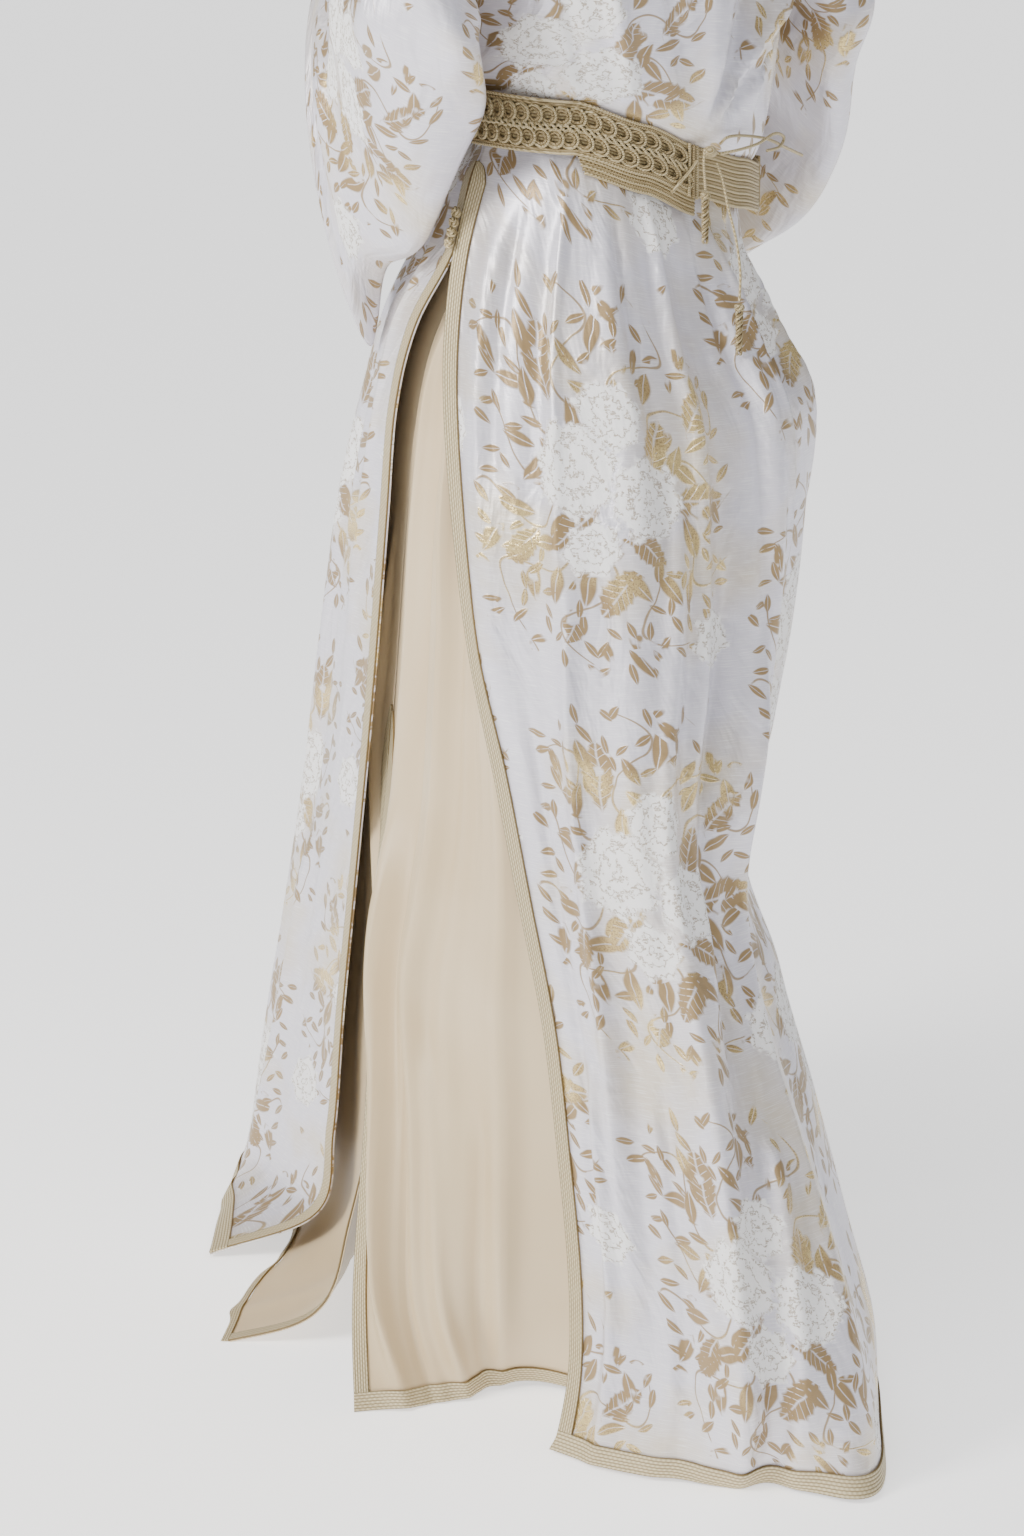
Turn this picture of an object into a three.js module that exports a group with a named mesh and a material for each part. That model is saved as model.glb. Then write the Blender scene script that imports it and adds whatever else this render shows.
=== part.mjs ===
// A belted two-layer kaftan, standing as it is worn. Millimetres, +Z up, wearer faces -Y.
import * as THREE from 'three';
import { mergeVertices } from 'three/addons/utils/BufferGeometryUtils.js';

// ---- driving sizes -------------------------------------------------------
const HELD_HEIGHT = 1445;        // nape of the neck above the floor, the origin
const SEAM_GAP = 0.3;
const BROCADE_WALL = 1.6;
const SATIN_WALL = 1.2;
const SLEEVE_WALL = 1.6;
const BRAID_WALL = 2.0;
const BRAID_LIFT = 0.35;
const SLIT_BRAID_WIDTH = 15;
const HEM_BRAID_WIDTH = 19;
const SATIN_BRAID_WIDTH = 13;
const SATIN_HEM_BRAID_WIDTH = 16;
const NECK_BRAID_ROWS = 0.13;     // depth of the neck braid, as a share of the first table row
const OUTER_BRAID_TOP = 7;        // table rows at which the slit braids start
const UNDER_BRAID_TOP = 6;
const BUTTON_DIAMETER = 9;
const BELT_BAND_WALL = 3.4;
const BELT_STRAP_WALL = 2.8;
const BELT_END_WALL = 1.6;
const TIE_CORD_DIAMETER = 2.6;
const TASSEL_CORD_DIAMETER = 2.2;

// ---- colours -------------------------------------------------------------
const BROCADE = { color: 0xe6e3ea, roughness: 0.45, metalness: 0.15 };
const SATIN = { color: 0xe3d6c0, roughness: 0.35, metalness: 0.05 };
const BRAID = { color: 0xc9bb98, roughness: 0.5, metalness: 0.25 };
const CORD = { color: 0xc6b58c, roughness: 0.55, metalness: 0.2 };

// ---- section tables ------------------------------------------------------
// Each row is one section round the body, each column a named place on it: [x, y, height].
// Left is the wearer's left. Heights are above the floor.

const OUTER_BACK = [
  // left edge        left quarter     middle           right quarter    right edge
  [[195, 0, 1395], [78, 5, 1440], [0, 60, 1425], [-78, 5, 1440], [-195, 0, 1395]],
  [[172, 48, 1322], [98, 98, 1330], [0, 112, 1335], [-98, 98, 1330], [-172, 48, 1322]],
  [[165, 0, 1250], [120, 92, 1250], [0, 122, 1250], [-120, 92, 1250], [-165, 0, 1250]],
  [[150, 0, 1180], [115, 92, 1176], [0, 126, 1168], [-112, 94, 1160], [-155, 2, 1152]],
  [[142, 0, 1128], [106, 84, 1120], [0, 124, 1084], [-96, 90, 1062], [-142, 0, 1058]],
  [[126, 0, 1088], [90, 70, 1082], [0, 103, 1042], [-88, 69, 1020], [-124, 0, 1020]],
  [[130, 0, 1062], [94, 74, 1054], [1, 106, 1012], [-88, 71, 988], [-125, 0, 995]],
  [[142, -1, 1035], [108, 85, 1024], [3, 119, 986], [-86, 82, 962], [-128, 0, 970]],
  [[158, -4, 978], [126, 98, 965], [10, 137, 940], [-84, 104, 925], [-134, 0, 932]],
  [[176, 6, 915], [142, 114, 905], [18, 160, 895], [-78, 132, 890], [-140, 12, 895]],
  [[186, 17, 850], [152, 130, 846], [25, 186, 843], [-75, 165, 843], [-145, 18, 846]],
  [[194, 38, 755], [165, 150, 752], [48, 202, 750], [-57, 182, 750], [-150, 25, 755]],
  [[196, 60, 655], [172, 160, 652], [75, 216, 650], [-32, 192, 650], [-152, 28, 655]],
  [[194, 92, 550], [174, 175, 548], [105, 230, 547], [3, 203, 547], [-147, 20, 550]],
  [[193, 118, 460], [175, 198, 460], [115, 246, 460], [16, 202, 460], [-141, 14, 460]],
  [[191, 148, 355], [177, 226, 355], [123, 276, 355], [28, 246, 355], [-152, 20, 355]],
  [[194, 170, 255], [183, 252, 255], [131, 315, 255], [31, 300, 255], [-168, 34, 255]],
  [[201, 193, 155], [190, 280, 155], [137, 350, 155], [37, 355, 155], [-180, 52, 155]],
  [[210, 205, 77], [199, 296, 77], [141, 370, 77], [43, 396, 77], [-190, 75, 77]],
  [[226, 210, 22], [206, 298, 22], [138, 364, 22], [55, 418, 22], [-196, 86, 22]],
  [[233, 206, 3], [207, 294, 3], [134, 359, 3], [62, 429, 3], [-200, 90, 3]],
];

const OUTER_FRONT = [
  // left edge        left quarter     middle           right quarter    right edge
  [[195, 0, 1395], [78, -5, 1440], [0, -82, 1378], [-78, -5, 1440], [-195, 0, 1395]],
  [[172, -52, 1322], [95, -106, 1325], [0, -124, 1315], [-95, -106, 1325], [-172, -52, 1322]],
  [[165, 0, 1250], [118, -96, 1245], [0, -132, 1240], [-118, -96, 1245], [-165, 0, 1250]],
  [[150, 0, 1180], [112, -90, 1178], [0, -126, 1174], [-112, -90, 1164], [-155, 2, 1152]],
  [[142, 0, 1128], [104, -82, 1125], [0, -116, 1112], [-100, -80, 1085], [-142, 0, 1058]],
  [[126, 0, 1088], [88, -68, 1085], [0, -98, 1070], [-88, -66, 1042], [-124, 0, 1020]],
  [[130, 0, 1062], [92, -71, 1058], [0, -101, 1046], [-90, -69, 1018], [-125, 0, 995]],
  [[142, -1, 1035], [106, -82, 1031], [1, -112, 1020], [-98, -78, 990], [-128, 0, 970]],
  [[158, -4, 978], [128, -90, 975], [5, -128, 972], [-112, -88, 955], [-134, 0, 932]],
  [[176, -33, 915], [146, -112, 912], [10, -162, 910], [-125, -110, 905], [-141, -12, 895]],
  [[180, -57, 843], [148, -138, 840], [18, -205, 840], [-125, -140, 840], [-146, -22, 843]],
  [[171, -84, 740], [139, -184, 740], [20, -255, 740], [-122, -175, 740], [-150, -35, 740]],
  [[164, -116, 589], [125, -236, 589], [15, -312, 589], [-125, -222, 589], [-155, -52, 589]],
  [[159, -150, 430], [113, -285, 430], [8, -362, 430], [-132, -258, 430], [-162, -70, 430]],
  [[152, -188, 267], [105, -336, 267], [5, -415, 267], [-140, -300, 267], [-170, -95, 267]],
  [[146, -215, 138], [106, -375, 138], [5, -450, 138], [-150, -328, 138], [-182, -113, 138]],
  [[150, -240, 48], [110, -402, 48], [8, -474, 48], [-158, -345, 48], [-190, -126, 48]],
  [[223, -313, 3], [135, -410, 3], [20, -492, 3], [-150, -365, 3], [-200, -140, 3]],
];

const UNDER_BACK = [
  // left edge       left fold       left quarter    middle          right quarter   right edge
  [[118, 0, 1078], [110, 36, 1072], [80, 66, 1062], [0, 94, 1032], [-78, 62, 1010], [-115, 0, 1010]],
  [[146, -14, 975], [144, 28, 968], [112, 82, 958], [8, 120, 935], [-74, 86, 922], [-122, 0, 930]],
  [[166, -40, 895], [169, 8, 892], [134, 98, 888], [16, 146, 885], [-70, 118, 882], [-129, 0, 885]],
  [[168, -62, 820], [177, 8, 820], [150, 102, 820], [30, 174, 820], [-64, 150, 820], [-133, 0, 820]],
  [[160, -86, 740], [183, 0, 740], [164, 100, 740], [48, 188, 740], [-50, 166, 740], [-138, -4, 740]],
  [[152, -112, 620], [185, -8, 620], [174, 105, 620], [80, 204, 620], [-20, 176, 620], [-139, -9, 620]],
  [[150, -130, 506], [190, -12, 506], [175, 122, 506], [104, 216, 506], [2, 170, 506], [-133, -12, 506]],
  [[177, -110, 430], [205, -10, 430], [176, 132, 430], [106, 226, 430], [6, 174, 430], [-130, -6, 430]],
  [[205, -88, 350], [222, -8, 350], [180, 140, 350], [112, 250, 350], [20, 212, 350], [-138, 4, 350]],
  [[237, -50, 250], [240, 22, 250], [182, 150, 250], [112, 288, 250], [20, 264, 250], [-150, 14, 250]],
  [[290, 2, 100], [264, 60, 100], [182, 146, 100], [105, 300, 100], [18, 290, 100], [-162, 35, 100]],
  [[317, 44, 3], [246, 86, 3], [165, 108, 3], [95, 260, 3], [12, 270, 3], [-168, 45, 3]],
];

const UNDER_FRONT = [
  // left edge       left fold       left quarter    middle          right quarter   right edge
  [[118, 0, 1078], [108, -33, 1076], [78, -62, 1074], [0, -90, 1062], [-80, -60, 1035], [-115, 0, 1010]],
  [[146, -14, 975], [138, -50, 973], [114, -84, 970], [5, -116, 965], [-103, -80, 948], [-122, 0, 930]],
  [[166, -40, 895], [154, -78, 895], [130, -112, 895], [12, -158, 895], [-112, -108, 890], [-129, 0, 885]],
  [[168, -62, 820], [152, -108, 820], [130, -143, 820], [18, -203, 820], [-112, -136, 820], [-133, 0, 820]],
  [[160, -86, 740], [142, -137, 740], [116, -176, 740], [18, -230, 740], [-106, -160, 740], [-138, -4, 740]],
  [[152, -112, 620], [134, -168, 620], [106, -210, 620], [15, -272, 620], [-108, -194, 620], [-139, -9, 620]],
  [[150, -130, 506], [132, -188, 506], [102, -238, 506], [10, -310, 506], [-110, -216, 506], [-133, -12, 506]],
  [[180, -105, 350], [150, -152, 350], [102, -268, 350], [8, -370, 350], [-120, -258, 350], [-140, -26, 350]],
  [[210, -70, 250], [153, -158, 250], [98, -292, 250], [5, -398, 250], [-126, -280, 250], [-148, -38, 250]],
  [[244, -72, 125], [150, -172, 125], [98, -305, 125], [2, -420, 125], [-133, -295, 125], [-158, -48, 125]],
  [[264, -95, 38], [162, -186, 38], [104, -315, 38], [0, -435, 38], [-138, -310, 38], [-163, -53, 38]],
  [[327, -161, 3], [248, -235, 3], [150, -302, 3], [10, -430, 3], [-138, -315, 3], [-166, -56, 3]],
];

// Sleeve sections from armhole to cuff: the lines along the front, outside, back and inside.
const LEFT_SLEEVE = [
  // front           outside         back            inside
  [[172, -52, 1322], [195, 0, 1395], [172, 48, 1322], [165, 0, 1250]],
  [[196, -50, 1285], [237, 5, 1330], [212, 66, 1268], [174, 20, 1225]],
  [[205, -40, 1238], [252, 20, 1235], [220, 84, 1190], [182, 45, 1185]],
  [[208, -44, 1216], [254, 20, 1160], [205, 86, 1128], [178, 25, 1160]],
  [[195, -72, 1214], [246, -25, 1120], [184, 40, 1070], [164, -18, 1130]],
  [[175, -105, 1212], [238, -65, 1105], [178, -17, 990], [162, -60, 1090]],
  [[150, -150, 1212], [231, -92, 1098], [181, -73, 945], [160, -95, 1062]],
  [[125, -195, 1212], [226, -113, 1092], [170, -108, 888], [152, -140, 1045]],
];

const RIGHT_SLEEVE = [
  // front             outside           back              inside
  [[-172, -52, 1322], [-195, 0, 1395], [-172, 48, 1322], [-165, 0, 1250]],
  [[-196, -50, 1285], [-237, 5, 1330], [-212, 66, 1268], [-174, 20, 1225]],
  [[-205, -40, 1238], [-252, 20, 1235], [-222, 84, 1190], [-182, 45, 1185]],
  [[-208, -44, 1216], [-254, 20, 1160], [-214, 86, 1122], [-178, 25, 1160]],
  [[-195, -72, 1214], [-252, -20, 1120], [-226, 50, 1050], [-168, -5, 1128]],
  [[-175, -105, 1212], [-248, -60, 1100], [-235, 10, 988], [-170, -50, 1080]],
  [[-150, -150, 1212], [-240, -92, 1090], [-220, -48, 925], [-168, -90, 1052]],
  [[-125, -195, 1212], [-232, -120, 1085], [-196, -105, 880], [-160, -135, 1040]],
];

// Largest folds of each panel: place across (0 left edge to 1 right edge) at the top and
// bottom of the fold, its heights, its half widths across and its rise (below zero, a trough).
const BACK_FOLDS = [
  // acrossTop acrossBottom top bottom widthTop widthBottom rise
  [0.10, 0.06, 1000, 620, 0.030, 0.050, 7],
  [0.21, 0.17, 1010, 500, 0.030, 0.060, -9],
  [0.33, 0.40, 1020, 420, 0.035, 0.060, 10],
  [0.45, 0.58, 1000, 520, 0.030, 0.050, -9],
  [0.56, 0.70, 960, 480, 0.035, 0.060, 8],
  [0.68, 0.80, 940, 420, 0.035, 0.060, -8],
  [0.80, 0.86, 930, 500, 0.035, 0.050, 7],
  [0.30, 0.22, 420, 3, 0.060, 0.080, -12],
  [0.52, 0.44, 480, 3, 0.050, 0.070, 12],
  [0.85, 0.88, 420, 3, 0.050, 0.060, 10],
];

const FRONT_FOLDS = [
  [0.15, 0.20, 1020, 420, 0.035, 0.060, -7],
  [0.30, 0.34, 1030, 60, 0.035, 0.055, 9],
  [0.42, 0.46, 1020, 200, 0.030, 0.050, -9],
  [0.56, 0.58, 1000, 60, 0.035, 0.055, 9],
  [0.70, 0.68, 990, 160, 0.030, 0.050, -8],
  [0.84, 0.80, 970, 60, 0.035, 0.055, 8],
];

const UNDER_BACK_FOLDS = [
  [0.10, 0.10, 620, 10, 0.030, 0.040, 6],
  [0.22, 0.20, 760, 3, 0.035, 0.045, -8],
  [0.45, 0.48, 760, 3, 0.040, 0.060, 8],
  [0.70, 0.70, 700, 3, 0.040, 0.060, -8],
];

const UNDER_FRONT_FOLDS = [
  [0.35, 0.38, 760, 3, 0.040, 0.060, -6],
  [0.55, 0.56, 760, 3, 0.040, 0.060, 5],
  [0.75, 0.74, 700, 3, 0.040, 0.060, -6],
];

// The belt round the waist: turn from the wearer's left (0) by the back (90), and its edges.
const BELT_HEIGHTS = [
  // turn, top, bottom
  [0, 1110, 1066],
  [45, 1103, 1061],
  [70, 1083, 1042],
  [90, 1062, 1021],
  [115, 1048, 1006],
  [140, 1036, 996],
  [180, 1040, 998],
  [225, 1064, 1020],
  [270, 1092, 1048],
  [315, 1106, 1062],
  [360, 1110, 1066],
];
const BELT_HALF_WIDTH = 134;
const BELT_HALF_DEPTH_BACK = 112;
const BELT_HALF_DEPTH_FRONT = 108;
const BELT_BAND_TURN = [156, 446];
const BELT_STRAP_TURN = [92, 155];
const BELT_END_TURN = [44, 90];
const BELT_END_DROP = 15;

// Knot buttons down the top of each slit, as heights.
const LEFT_BUTTON_HEIGHTS = [1011, 1003, 995, 986];
const RIGHT_BUTTON_HEIGHTS = [971, 963, 955, 946];

// Routes of the free cords, each [x, y, height].
const RIGHT_TIE = [[-13, 130, 1065], [-22, 130, 1070], [-44, 126, 1069], [-76, 119, 1063],
  [-108, 108, 1052], [-140, 92, 1042]];
const RIGHT_TIE_LOOP = [[-14, 129, 1057], [-32, 132, 1059], [-55, 130, 1062], [-78, 125, 1068],
  [-95, 118, 1063], [-86, 122, 1056], [-68, 127, 1055]];
const SHORT_TASSEL_CORD = [[4, 131, 1063], [6, 132, 1052], [5, 132, 1040], [4, 132, 1029.5]];
const LONG_TASSEL_CORD = [[-9, 131, 1050], [-12, 135, 1036], [-12, 142, 1015], [-12, 152, 990],
  [-8, 162, 965], [-2, 168, 942]];
const BINDING_CORD = [[4, 121.5, 1052], [12, 121.5, 1044], [21, 120.5, 1036], [29, 119, 1028]];

// ---- shared working ------------------------------------------------------
const group = new THREE.Group();
group.name = 'moroccan_kaftan';

function addNode(name, geometry, finish) {
  const mesh = new THREE.Mesh(geometry, new THREE.MeshStandardMaterial(finish));
  mesh.name = name;
  group.add(mesh);
  return mesh;
}

function mix(a, b, t) {
  return a + (b - a) * t;
}

function smoothStep(t) {
  const c = Math.min(1, Math.max(0, t));
  return c * c * (3 - 2 * c);
}

function add(a, b, scale = 1) {
  return [a[0] + b[0] * scale, a[1] + b[1] * scale, a[2] + b[2] * scale];
}

function subtract(a, b) {
  return add(a, b, -1);
}

function cross(a, b) {
  return [
    a[1] * b[2] - a[2] * b[1],
    a[2] * b[0] - a[0] * b[2],
    a[0] * b[1] - a[1] * b[0],
  ];
}

function length(a) {
  return Math.hypot(a[0], a[1], a[2]);
}

function unit(a) {
  const l = length(a) || 1;
  return [a[0] / l, a[1] / l, a[2] / l];
}

// A smooth run through evenly numbered stations. Beyond each end it goes on straight.
function along(stations, t) {
  const last = stations.length - 1;
  const i = Math.min(last - 1, Math.max(0, Math.floor(t)));
  const f = t - i;
  const p1 = stations[i];
  const p2 = stations[i + 1];
  const p0 = i > 0 ? stations[i - 1] : add(p1, subtract(p2, p1), -1);
  const p3 = i < last - 1 ? stations[i + 2] : add(p2, subtract(p2, p1), 1);
  return p1.map((_, k) => {
    const m1 = (p2[k] - p0[k]) / 2;
    const m2 = (p3[k] - p1[k]) / 2;
    const f2 = f * f;
    const f3 = f2 * f;
    return (2 * f3 - 3 * f2 + 1) * p1[k] + (f3 - 2 * f2 + f) * m1
      + (3 * f2 - 2 * f3) * p2[k] + (f3 - f2) * m2;
  });
}

// A cloth panel: a point for a place across (0 to 1) and a row number down.
function makePanel(rows, folds, seamRows) {
  const columns = rows[0].length - 1;
  const panel = { rows, lastRow: rows.length - 1 };
  panel.plain = (across, down) => {
    const section = rows[0].map((_, c) => along(rows.map((row) => row[c]), down));
    return along(section, across * columns);
  };
  panel.foldRise = (across, height) => {
    let rise = 0;
    for (const [aTop, aBottom, top, bottom, wTop, wBottom, fold] of folds) {
      const t = (top - height) / (top - bottom);
      if (t > -0.1 && t < 1.15) {
        const centre = mix(aTop, aBottom, t);
        const width = mix(wTop, wBottom, t);
        const off = (across - centre) / width;
        const fade = smoothStep((t + 0.1) * 4) * smoothStep((1.15 - t) * 3);
        rise += fold * fade * Math.exp(-off * off);
      }
    }
    const edge = smoothStep(across * 16) * smoothStep((1 - across) * 16);
    return rise * edge;
  };
  panel.plainNormal = (across, down) => {
    const step = 0.002;
    const a0 = Math.max(0, across - step);
    const a1 = Math.min(1, across + step);
    const d0 = Math.max(0, down - step * 10);
    const d1 = Math.min(panel.lastRow, down + step * 10);
    const u = subtract(panel.plain(a1, down), panel.plain(a0, down));
    const v = subtract(panel.plain(across, d1), panel.plain(across, d0));
    return unit(cross(u, v));
  };
  panel.side = Math.sign(panel.plain(0.5, 6)[1]);
  panel.turn = Math.sign(panel.plainNormal(0.5, 6)[1]) * panel.side;
  panel.normal = (across, down) => {
    const own = panel.plainNormal(across, down).map((n) => n * panel.turn);
    if (seamRows[0] > 0 && down < 0.5 && (across < 0.24 || across > 0.76)) {
      return unit([Math.sign(0.5 - across) * 0.35, 0, 1]);
    }
    if (down > seamRows[0] && down <= seamRows[1]) {
      const near = Math.min(across, 1 - across);
      const share = 1 - smoothStep(near / 0.04);
      const side = [Math.sign(0.5 - across), 0, 0];
      return unit(add(own.map((n) => n * (1 - share)), side, share));
    }
    return own;
  };
  panel.point = (across, down, lift = 0) => {
    const p = panel.plain(across, down);
    const n = panel.normal(across, down);
    return add(p, n, panel.foldRise(across, p[2]) + lift);
  };
  panel.rowLength = (down) => {
    let total = 0;
    let before = panel.plain(0, down);
    for (let i = 1; i <= 20; i += 1) {
      const p = panel.plain(i / 20, down);
      total += length(subtract(p, before));
      before = p;
    }
    return total;
  };
  return panel;
}

// A closed wall between two grids of points, outer and inner, each [row][column].
function wall(outer, inner, closedRound = false) {
  const rows = outer.length;
  const cols = outer[0].length;
  const points = [];
  for (const grid of [outer, inner]) {
    for (const row of grid) {
      for (const p of row) {
        points.push(p[0], p[1], p[2] - HELD_HEIGHT);
      }
    }
  }
  const at = (layer, r, c) => layer * rows * cols + r * cols + (c % cols);
  const faces = [];
  const quad = (a, b, c, d) => faces.push(a, b, c, a, c, d);
  const lastCol = closedRound ? cols : cols - 1;
  for (let r = 0; r < rows - 1; r += 1) {
    for (let c = 0; c < lastCol; c += 1) {
      quad(at(0, r, c), at(0, r, c + 1), at(0, r + 1, c + 1), at(0, r + 1, c));
      quad(at(1, r, c), at(1, r + 1, c), at(1, r + 1, c + 1), at(1, r, c + 1));
    }
  }
  for (let c = 0; c < lastCol; c += 1) {
    quad(at(0, 0, c), at(1, 0, c), at(1, 0, c + 1), at(0, 0, c + 1));
    quad(at(0, rows - 1, c), at(0, rows - 1, c + 1), at(1, rows - 1, c + 1), at(1, rows - 1, c));
  }
  if (!closedRound) {
    for (let r = 0; r < rows - 1; r += 1) {
      quad(at(0, r, 0), at(0, r + 1, 0), at(1, r + 1, 0), at(1, r, 0));
      quad(at(0, r, cols - 1), at(1, r, cols - 1), at(1, r + 1, cols - 1), at(0, r + 1, cols - 1));
    }
  }
  const geometry = new THREE.BufferGeometry();
  geometry.setAttribute('position', new THREE.Float32BufferAttribute(points, 3));
  geometry.setIndex(faces);
  return outward(geometry);
}

// Turns a closed mesh so that its faces point outwards.
function outward(geometry) {
  const p = geometry.attributes.position;
  const index = geometry.index.array;
  let volume = 0;
  const a = new THREE.Vector3();
  const b = new THREE.Vector3();
  const c = new THREE.Vector3();
  for (let i = 0; i < index.length; i += 3) {
    a.fromBufferAttribute(p, index[i]);
    b.fromBufferAttribute(p, index[i + 1]);
    c.fromBufferAttribute(p, index[i + 2]);
    volume += a.dot(b.cross(c));
  }
  if (volume < 0) {
    const turned = [];
    for (let i = 0; i < index.length; i += 3) {
      turned.push(index[i], index[i + 2], index[i + 1]);
    }
    geometry.setIndex(turned);
  }
  geometry.computeVertexNormals();
  return geometry;
}

// The grid a panel is cut into. The braids share it, so they lie on the panel's own facets:
// its side columns are a braid's width, and its last rows a hem braid's depth.
function layGrid(panel, { braidWidth, hemWidth, columns, neckDepth }) {
  const hemTop = rowAbove(panel, 0.5, hemWidth);
  panel.downs = [0];
  panel.hasShoulder = neckDepth > 0;
  if (neckDepth) {
    panel.downs.push(neckDepth);
  }
  for (let i = 1; i < panel.lastRow; i += 1) {
    if (i < hemTop - 0.15) {
      panel.downs.push(i);
    }
  }
  panel.hemRow = panel.downs.length + 1;
  panel.downs.push(hemTop - 0.02, hemTop, panel.lastRow);
  panel.columnCount = columns;
  panel.acrosses = (down) => {
    const inset = (SEAM_GAP / 2) / panel.rowLength(down);
    const share = braidWidth / panel.rowLength(down);
    const line = [inset];
    for (let i = 0; i < columns; i += 1) {
      line.push(mix(share, 1 - share, i / (columns - 1)));
    }
    line.push(1 - inset);
    return line;
  };
}

// Grid points of a panel, moved out, for a run of its rows and columns.
function gridPoints(panel, lift, [firstRow, lastRow], [firstColumn, lastColumn]) {
  const grid = [];
  for (let r = firstRow; r <= lastRow; r += 1) {
    const down = panel.downs[r];
    const line = panel.acrosses(down).slice(firstColumn, lastColumn + 1);
    grid.push(line.map((across) => {
      const p = panel.point(across, down, lift);
      if (panel.hasShoulder && down === 0) {
        const onShoulder = across <= 0.25 || across >= 0.75;
        p[1] = (onShoulder ? 0 : p[1]) + panel.side * SEAM_GAP / 2;
      }
      return p;
    }));
  }
  return grid;
}

function lastColumn(panel) {
  return panel.columnCount + 1;
}

function panelWall(panel, wallThickness) {
  const rows = [0, panel.downs.length - 1];
  const columns = [0, lastColumn(panel)];
  return wall(gridPoints(panel, 0, rows, columns), gridPoints(panel, -wallThickness, rows, columns));
}

// A braid on a run of a panel's own facets.
function braidWall(panel, rows, columns) {
  return wall(
    gridPoints(panel, BRAID_LIFT + BRAID_WALL, rows, columns),
    gridPoints(panel, BRAID_LIFT, rows, columns),
  );
}

function slitBraid(panel, leftSide, firstRow) {
  const columns = leftSide ? [0, 1] : [lastColumn(panel) - 1, lastColumn(panel)];
  return braidWall(panel, [panel.downs.indexOf(firstRow), panel.hemRow - 1], columns);
}

function hemBraid(panel) {
  return braidWall(panel, [panel.hemRow, panel.hemRow + 1], [0, lastColumn(panel)]);
}

function neckBraid(panel) {
  const line = panel.acrosses(0);
  const first = line.findIndex((a) => a > 0.26);
  const last = line.length - 1 - first;
  return braidWall(panel, [0, 1], [first, last]);
}

// The row number lying a given distance up from the hem, along the cloth.
function rowAbove(panel, across, distance) {
  let total = 0;
  let before = panel.plain(across, panel.lastRow);
  for (let i = 1; i < 400; i += 1) {
    const down = panel.lastRow - i * 0.01;
    const p = panel.plain(across, down);
    total += length(subtract(p, before));
    before = p;
    if (total >= distance) {
      return down;
    }
  }
  return panel.lastRow - 1;
}

// ---- sleeves -------------------------------------------------------------
function sleevePoint(rows, turn, down) {
  const [front, outside, back, inside] = rows[0].map((_, c) => along(rows.map((r) => r[c]), down));
  const c = Math.cos(turn);
  const s = Math.sin(turn);
  const middle = front.map((v, k) => (v + back[k]) / 2);
  const cross2 = outside.map((v, k) => (v + inside[k]) / 2);
  return middle.map((m, k) => m + (front[k] - back[k]) / 2 * c
    + (outside[k] - inside[k]) / 2 * s + (cross2[k] - m) * s * s);
}

function sleeveWall(rows, aroundCount, perRow) {
  const outer = [];
  const inner = [];
  const count = Math.round((rows.length - 1) * perRow);
  for (let row = 0; row <= count; row += 1) {
    const down = row / count * (rows.length - 1);
    const ring = [];
    for (let i = 0; i < aroundCount; i += 1) {
      ring.push(sleevePoint(rows, i / aroundCount * Math.PI * 2, down));
    }
    const centre = ring.reduce((sum, p) => add(sum, p), [0, 0, 0]).map((v) => v / aroundCount);
    const shift = down === 0 ? Math.sign(rows[0][1][0]) * SEAM_GAP * 2 : 0;
    const before = ring.map((p, i) => ring[(i + aroundCount - 1) % aroundCount]);
    const after = ring.map((p, i) => ring[(i + 1) % aroundCount]);
    outer.push(ring.map((p) => add(p, [shift, 0, 0])));
    inner.push(ring.map((p, i) => {
      const tangent = unit(subtract(after[i], before[i]));
      const inwards = subtract(centre, p);
      const dot = inwards[0] * tangent[0] + inwards[1] * tangent[1] + inwards[2] * tangent[2];
      const straight = unit(add(inwards, tangent, -dot));
      return add(add(p, straight, SLEEVE_WALL), [shift, 0, 0]);
    }));
  }
  return wall(outer, inner, true);
}

// ---- belt ----------------------------------------------------------------
function beltEdges(turn) {
  const t = ((turn % 360) + 360) % 360;
  const i = BELT_HEIGHTS.findIndex((row, k) => k > 0 && t <= row[0]);
  const low = BELT_HEIGHTS[i - 1];
  const high = BELT_HEIGHTS[i];
  const f = smoothStep((t - low[0]) / (high[0] - low[0])) * 0.4
    + (t - low[0]) / (high[0] - low[0]) * 0.6;
  return { top: mix(low[1], high[1], f), bottom: mix(low[2], high[2], f) };
}

function beltPoint(turn, height, lift) {
  const r = turn * Math.PI / 180;
  const depth = Math.sin(r) > 0 ? BELT_HALF_DEPTH_BACK : BELT_HALF_DEPTH_FRONT;
  return [(BELT_HALF_WIDTH + lift) * Math.cos(r), (depth + lift) * Math.sin(r), height];
}

function beltWall([first, last], lift, thickness, drop, count, trim = 0) {
  const outer = [[], []];
  const inner = [[], []];
  for (let i = 0; i <= count; i += 1) {
    const turn = mix(first, last, i / count);
    const edges = beltEdges(turn);
    [edges.top - drop - trim, edges.bottom - drop].forEach((height, k) => {
      outer[k].push(beltPoint(turn, height, lift + thickness));
      inner[k].push(beltPoint(turn, height, lift));
    });
  }
  return wall(outer, inner);
}

// ---- cords, knots and buttons --------------------------------------------
function vector(p) {
  return new THREE.Vector3(p[0], p[1], p[2] - HELD_HEIGHT);
}

function solid(geometry) {
  geometry.deleteAttribute('normal');
  geometry.deleteAttribute('uv');
  return outward(mergeVertices(geometry, 1e-4));
}

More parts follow.
